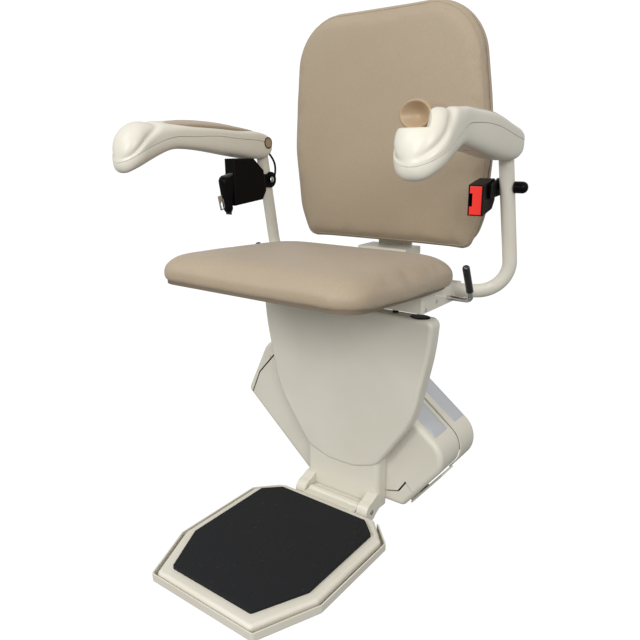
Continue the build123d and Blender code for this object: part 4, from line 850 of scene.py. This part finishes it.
def arm_pad_rings(front):
    """An armrest pad: its outline in plan is a long rounded lens, |u|^2.6 + |v|^2.6 = 1, and its top a
    low dome, the root of one minus the fourth power of the distance out. The dome is highest a little
    in front of the middle, and the base follows the arm's top."""
    share = np.concatenate([np.linspace(0.02, 0.9, 16), np.linspace(0.92, 1.0, 9)])
    angle = np.linspace(0, 2 * math.pi, 112, endpoint=False)
    u = np.sign(np.cos(angle)) * np.abs(np.cos(angle)) ** (2 / PAD_POWER)
    v = np.sign(np.sin(angle)) * np.abs(np.sin(angle)) ** (2 / PAD_POWER)
    half = (PAD_REAR - front) / 2
    middle = (PAD_REAR + front) / 2
    y = middle + share[:, None] * half * u[None]
    x = PAD_X + share[:, None] * PAD_HALF * v[None]
    top = curve(ARM_TOP, y) + PAD_LEAN * (x - ARM_MID) / ARM_HALF * ahead_of(y, 60, 90)
    belly = np.sqrt(np.clip(1 - share**4, 0, 1))[:, None]
    lift = PAD_DOME + PAD_SWELL * np.clip(1 - ((y - middle + 25) / (half * 1.2)) ** 2, 0, 1)
    low = np.stack([x, y, top - 5 + 0 * x], -1)
    high = np.stack([x, y, top - 0.6 + belly * lift], -1)
    return np.concatenate([low, high[::-1]], 0)


HANDS = ((1, "left"), (-1, "right"))
PIVOT_Y = 73.0
PIVOT_Z = 706.0
BORES = (("bore_cutter", (240, 296), 11.4), ("barrel_cutter", (260, 288), 14.6))
SLOT_X = (260.0, 288.0)
SLOT_REAR = 112
SLOT_FOOT = 640
SLOT_UPPER = (76, 719.6)
SLOT_LOWER = (57, 730)
RECESSES = ((-20, 684), (-88, 691))
RECESS_RADIUS = 4.2

for hand, side in HANDS:
    body = side + "_arm"
    for half_name in ("upper", "lower"):
        upper = half_name == "upper"
        rings = mirrored(arm_rings(upper, notch=side == "left"), hand)
        shell = skin(f"armrest_{side}_{half_name}", place(rings))
        slot_front, slot_top = SLOT_UPPER if upper else SLOT_LOWER
        x_low, x_high = sorted(hand * x for x in SLOT_X)
        slot = box_mesh("slot_cutter", (x_low, slot_front, SLOT_FOOT), (x_high, SLOT_REAR, slot_top))
        carved(shell, slot)
        for name, x_ends, radius in BORES:
            ends = [(hand * x, PIVOT_Y, PIVOT_Z) for x in x_ends]
            carved(shell, rod_mesh(name, ends, radius))
        if not upper:
            for y, z in RECESSES:
                ends = [(hand * ARM_MID, y, z - 12), (hand * ARM_MID, y, z + 3)]
                carved(shell, rod_mesh("recess_cutter", ends, RECESS_RADIUS, 32))
        creased(shell, 40)
        finished(shell, body, "ivory_plastic", [f"arm_{side}_{half_name}"])
    pad = skin(f"armrest_{side}_pad", place(mirrored(arm_pad_rings(PAD_FRONT[side]), hand)))
    finished(pad, body, "tan_vinyl", [f"arm_{side}_pad"])
rocker = skin("control_paddle", place(rocker_rings()))
finished(rocker, "rocker", "tan_plastic", ["control_rocker"])


# ---- trims, labels and the belt's lead ----
SLOPE_DOWN = np.array([math.cos(RAIL_SLOPE), 0.0, -math.sin(RAIL_SLOPE)])
SLOPE_OUT = np.array([math.sin(RAIL_SLOPE), 0.0, math.cos(RAIL_SLOPE)])
RAIL_MIDDLE = np.array([0.0, 0.0, 108.0])
LABEL_UNDER = 0.6
LABEL_OVER = 0.35
LABEL_EDGE = 0.3


def plate(name, corners, level):
    """A bare label: a rounded oblong on a plane along the rail's slope, from a little under the cover's
    level there to a little over it, its upper edge eased in."""
    outline = rounded_outline(corners, [3, 3, 3, 3], 96)
    middle = outline.mean(0)
    inner = middle + (outline - middle) * 0.5
    flat = np.stack([inner, outline, outline, outline - outwards(outline) * LABEL_EDGE, inner])
    low = level - LABEL_UNDER
    high = level + LABEL_OVER
    height = np.repeat(np.array([low, low, high - 0.2, high, high])[:, None], len(outline), 1)
    piece = skin(name, place(on_plane(flat, height, RAIL_MIDDLE, SLOPE_DOWN, BACKWARD, SLOPE_OUT)))
    creased(piece)
    piece.data.materials.append(LABEL)
    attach(piece, "carriage")


plate("rating_plate", [(4, 35), (122, 35), (122, 89), (4, 89)], 151.0)
plate("warning_plate", [(-6, 117), (121, 117), (121, 162), (-6, 162)], 155.0)


def washer_rings(radii, heights, notches=0, bite=0.0):
    """Rings of a turned part, each a radius and a height. Notches are bites into the rings of its rim,
    which are over one and a half times as wide as the first ring."""
    angle = np.linspace(0, 2 * math.pi, 96, endpoint=False)
    radii = np.array(radii, float)[:, None]
    wave = eased((np.cos(angle * notches) - 0.55) / 0.2) if notches else 0 * angle
    radius = radii - bite * wave[None] * (radii > radii[0] * 1.5)
    flat = np.stack([radius * np.cos(angle), radius * np.sin(angle)], -1)
    return flat, np.repeat(np.array(heights, float)[:, None], len(angle), 1)


for hand, side in HANDS:
    inward = np.array([-hand, 0.0, 0.0])
    origin = np.array([hand * ARM_IN, PIVOT_Y, PIVOT_Z])
    flat, height = washer_rings([4, 8.6, 9.4, 9.6, 9.6, 4], [-6, -6, 0.4, 0.9, 1.2, 1.2], notches=6, bite=1.1)
    disc = skin(f"pivot_disc_{side}", place(on_plane(flat, height, origin, BACKWARD, UPWARD, inward)))
    creased(disc)
    finished(disc, "chair", "tan_plastic")
    flat, height = washer_rings([10.0, 10.9, 11.6, 12.0, 11.2, 10.0], [-6, -6, 0.2, 0.9, 1.3, 1.1])
    rim_rings = on_plane(flat, height, origin, BACKWARD, UPWARD, inward)
    rim = skin(f"pivot_rim_{side}", place(rim_rings), loop=True)
    finished(rim, "chair", "black_plastic")


def wire(name, points, radius):
    """A round lead along a NURBS line through datum points."""
    line = bpy.data.curves.new(name, "CURVE")
    line.dimensions = "3D"
    spline = line.splines.new("NURBS")
    spline.points.add(len(points) - 1)
    spots = np.concatenate([place(points), np.ones((len(points), 1))], 1)
    spline.points.foreach_set("co", spots.ravel())
    spline.order_u = 3
    spline.use_endpoint_u = True
    line.resolution_u = 16
    line.bevel_depth = radius * MM
    line.bevel_resolution = 6
    line.use_fill_caps = True
    piece = bpy.data.objects.new(name, line)
    bpy.context.scene.collection.objects.link(piece)
    return piece


LEAD_POINTS = [
    (-270, 92.3, 688),
    (-268, 103, 677),
    (-265.8, 110.5, 663.5),
    (-265, 111.8, 649),
    (-264.95, 108.5, 635),
    (-264.95, 103.5, 624),
]
lead = wire("switch_lead", LEAD_POINTS, 2.35)
finished(lead, "chair", "black_rubber", ["belt_cable"])

# ---- lap belt ----
flat, height = washer_rings([1.5, 6.3, 6.5, 5.9, 4.2, 1.2], [0, 0, 1.4, 2.8, 3.7, 4.2])
BELT_BOLT = np.array([-259.2, 90.0, 628.0])
bolt = skin("belt_bolt_head", place(on_plane(flat, height, BELT_BOLT, BACKWARD, UPWARD, SIDE)))
finished(bolt, "chair", "bright_steel")


def band_rings(path, width, thickness, corner, x_middle):
    """A strap along a line in the y-z plane: at each point a rounded box as wide as the strap across x."""
    path = np.array(path, float)
    along = np.gradient(path, axis=0)
    along /= np.linalg.norm(along, axis=1, keepdims=True)
    out = np.stack([along[:, 1], -along[:, 0]], -1)
    half = np.array([width / 2, thickness / 2])
    box = rounded_outline([-half, (half[0], -half[1]), half, (-half[0], half[1])], [corner] * 4, 64)
    x = x_middle + box[None, :, 0] + 0 * path[:, :1]
    y = path[:, :1] + out[:, :1] * box[None, :, 1]
    z = path[:, 1:] + out[:, 1:] * box[None, :, 1]
    return np.stack([x, y, z], -1)


SLEEVE_TOP = np.array([-72.0, 641.0])
SLEEVE_FOOT = np.array([-59.5, 571.0])
BELT_X = -245.0
down = np.linspace(0, 1, 12)[:, None]
rings = band_rings(SLEEVE_TOP + down * (SLEEVE_FOOT - SLEEVE_TOP), 21.0, 15.0, 6.5, BELT_X)
shrink = 1 - 0.35 * (np.abs(down * 2 - 1) ** 14)
middles = rings.mean(1, keepdims=True)
sleeve = skin("belt_sleeve", place(middles + (rings - middles) * shrink[..., None]))
finished(sleeve, "chair", "black_plastic")

# ---- light: white all round for the camera, and darker from below for everything else ----
world = bpy.data.worlds.new("studio")
world.use_nodes = True
bpy.context.scene.world = world
links = world.node_tree.links


def world_node(kind, **values):
    """A node of the world, with the values of its sockets."""
    node = world.node_tree.nodes.new(kind)
    for key, value in values.items():
        node.inputs[key.replace("_", " ")].default_value = value
    return node


rays = world_node("ShaderNodeLightPath")
way = world_node("ShaderNodeTexCoord")
split = world_node("ShaderNodeSeparateXYZ")
dusk = world_node("ShaderNodeMapRange", From_Min=-0.6, From_Max=0.7, To_Min=0.2, To_Max=0.8)
seen = world_node("ShaderNodeMapRange", To_Max=1.05)
sky = world.node_tree.nodes["Background"]
sky.inputs["Color"].default_value = (1.0, 1.0, 1.0, 1.0)
links.new(way.outputs["Generated"], split.inputs["Vector"])
links.new(split.outputs["Z"], dusk.inputs["Value"])
links.new(rays.outputs["Is Camera Ray"], seen.inputs["Value"])
links.new(dusk.outputs["Result"], seen.inputs["To Min"])
links.new(seen.outputs["Result"], sky.inputs["Strength"])


def softbox(name, where, towards, size, watts):
    """A square light at one point that faces another."""
    lamp = bpy.data.lights.new(name, "AREA")
    lamp.shape = "SQUARE"
    lamp.size = size
    lamp.energy = watts
    holder = bpy.data.objects.new(name, lamp)
    out = np.array(where, float) - np.array(towards, float)
    out /= np.linalg.norm(out)
    side_way = np.cross([0.0, 0.0, 1.0], out)
    side_way /= np.linalg.norm(side_way)
    turned = np.eye(4)
    turned[:3, 0] = side_way
    turned[:3, 1] = np.cross(out, side_way)
    turned[:3, 2] = out
    turned[:3, 3] = where
    holder.matrix_world = Matrix(turned.tolist())
    bpy.context.scene.collection.objects.link(holder)


softbox("key_light", (-1.3, -2.1, 2.5), (0, 0, 0.35), 1.0, 14)
softbox("front_light", (-0.1, -2.7, 1.55), (0, 0, 0.3), 0.9, 27)
softbox("side_light", (1.8, -1.8, 1.4), (0, 0, 0.4), 0.9, 24)
bpy.context.scene.view_settings.view_transform = "Standard"
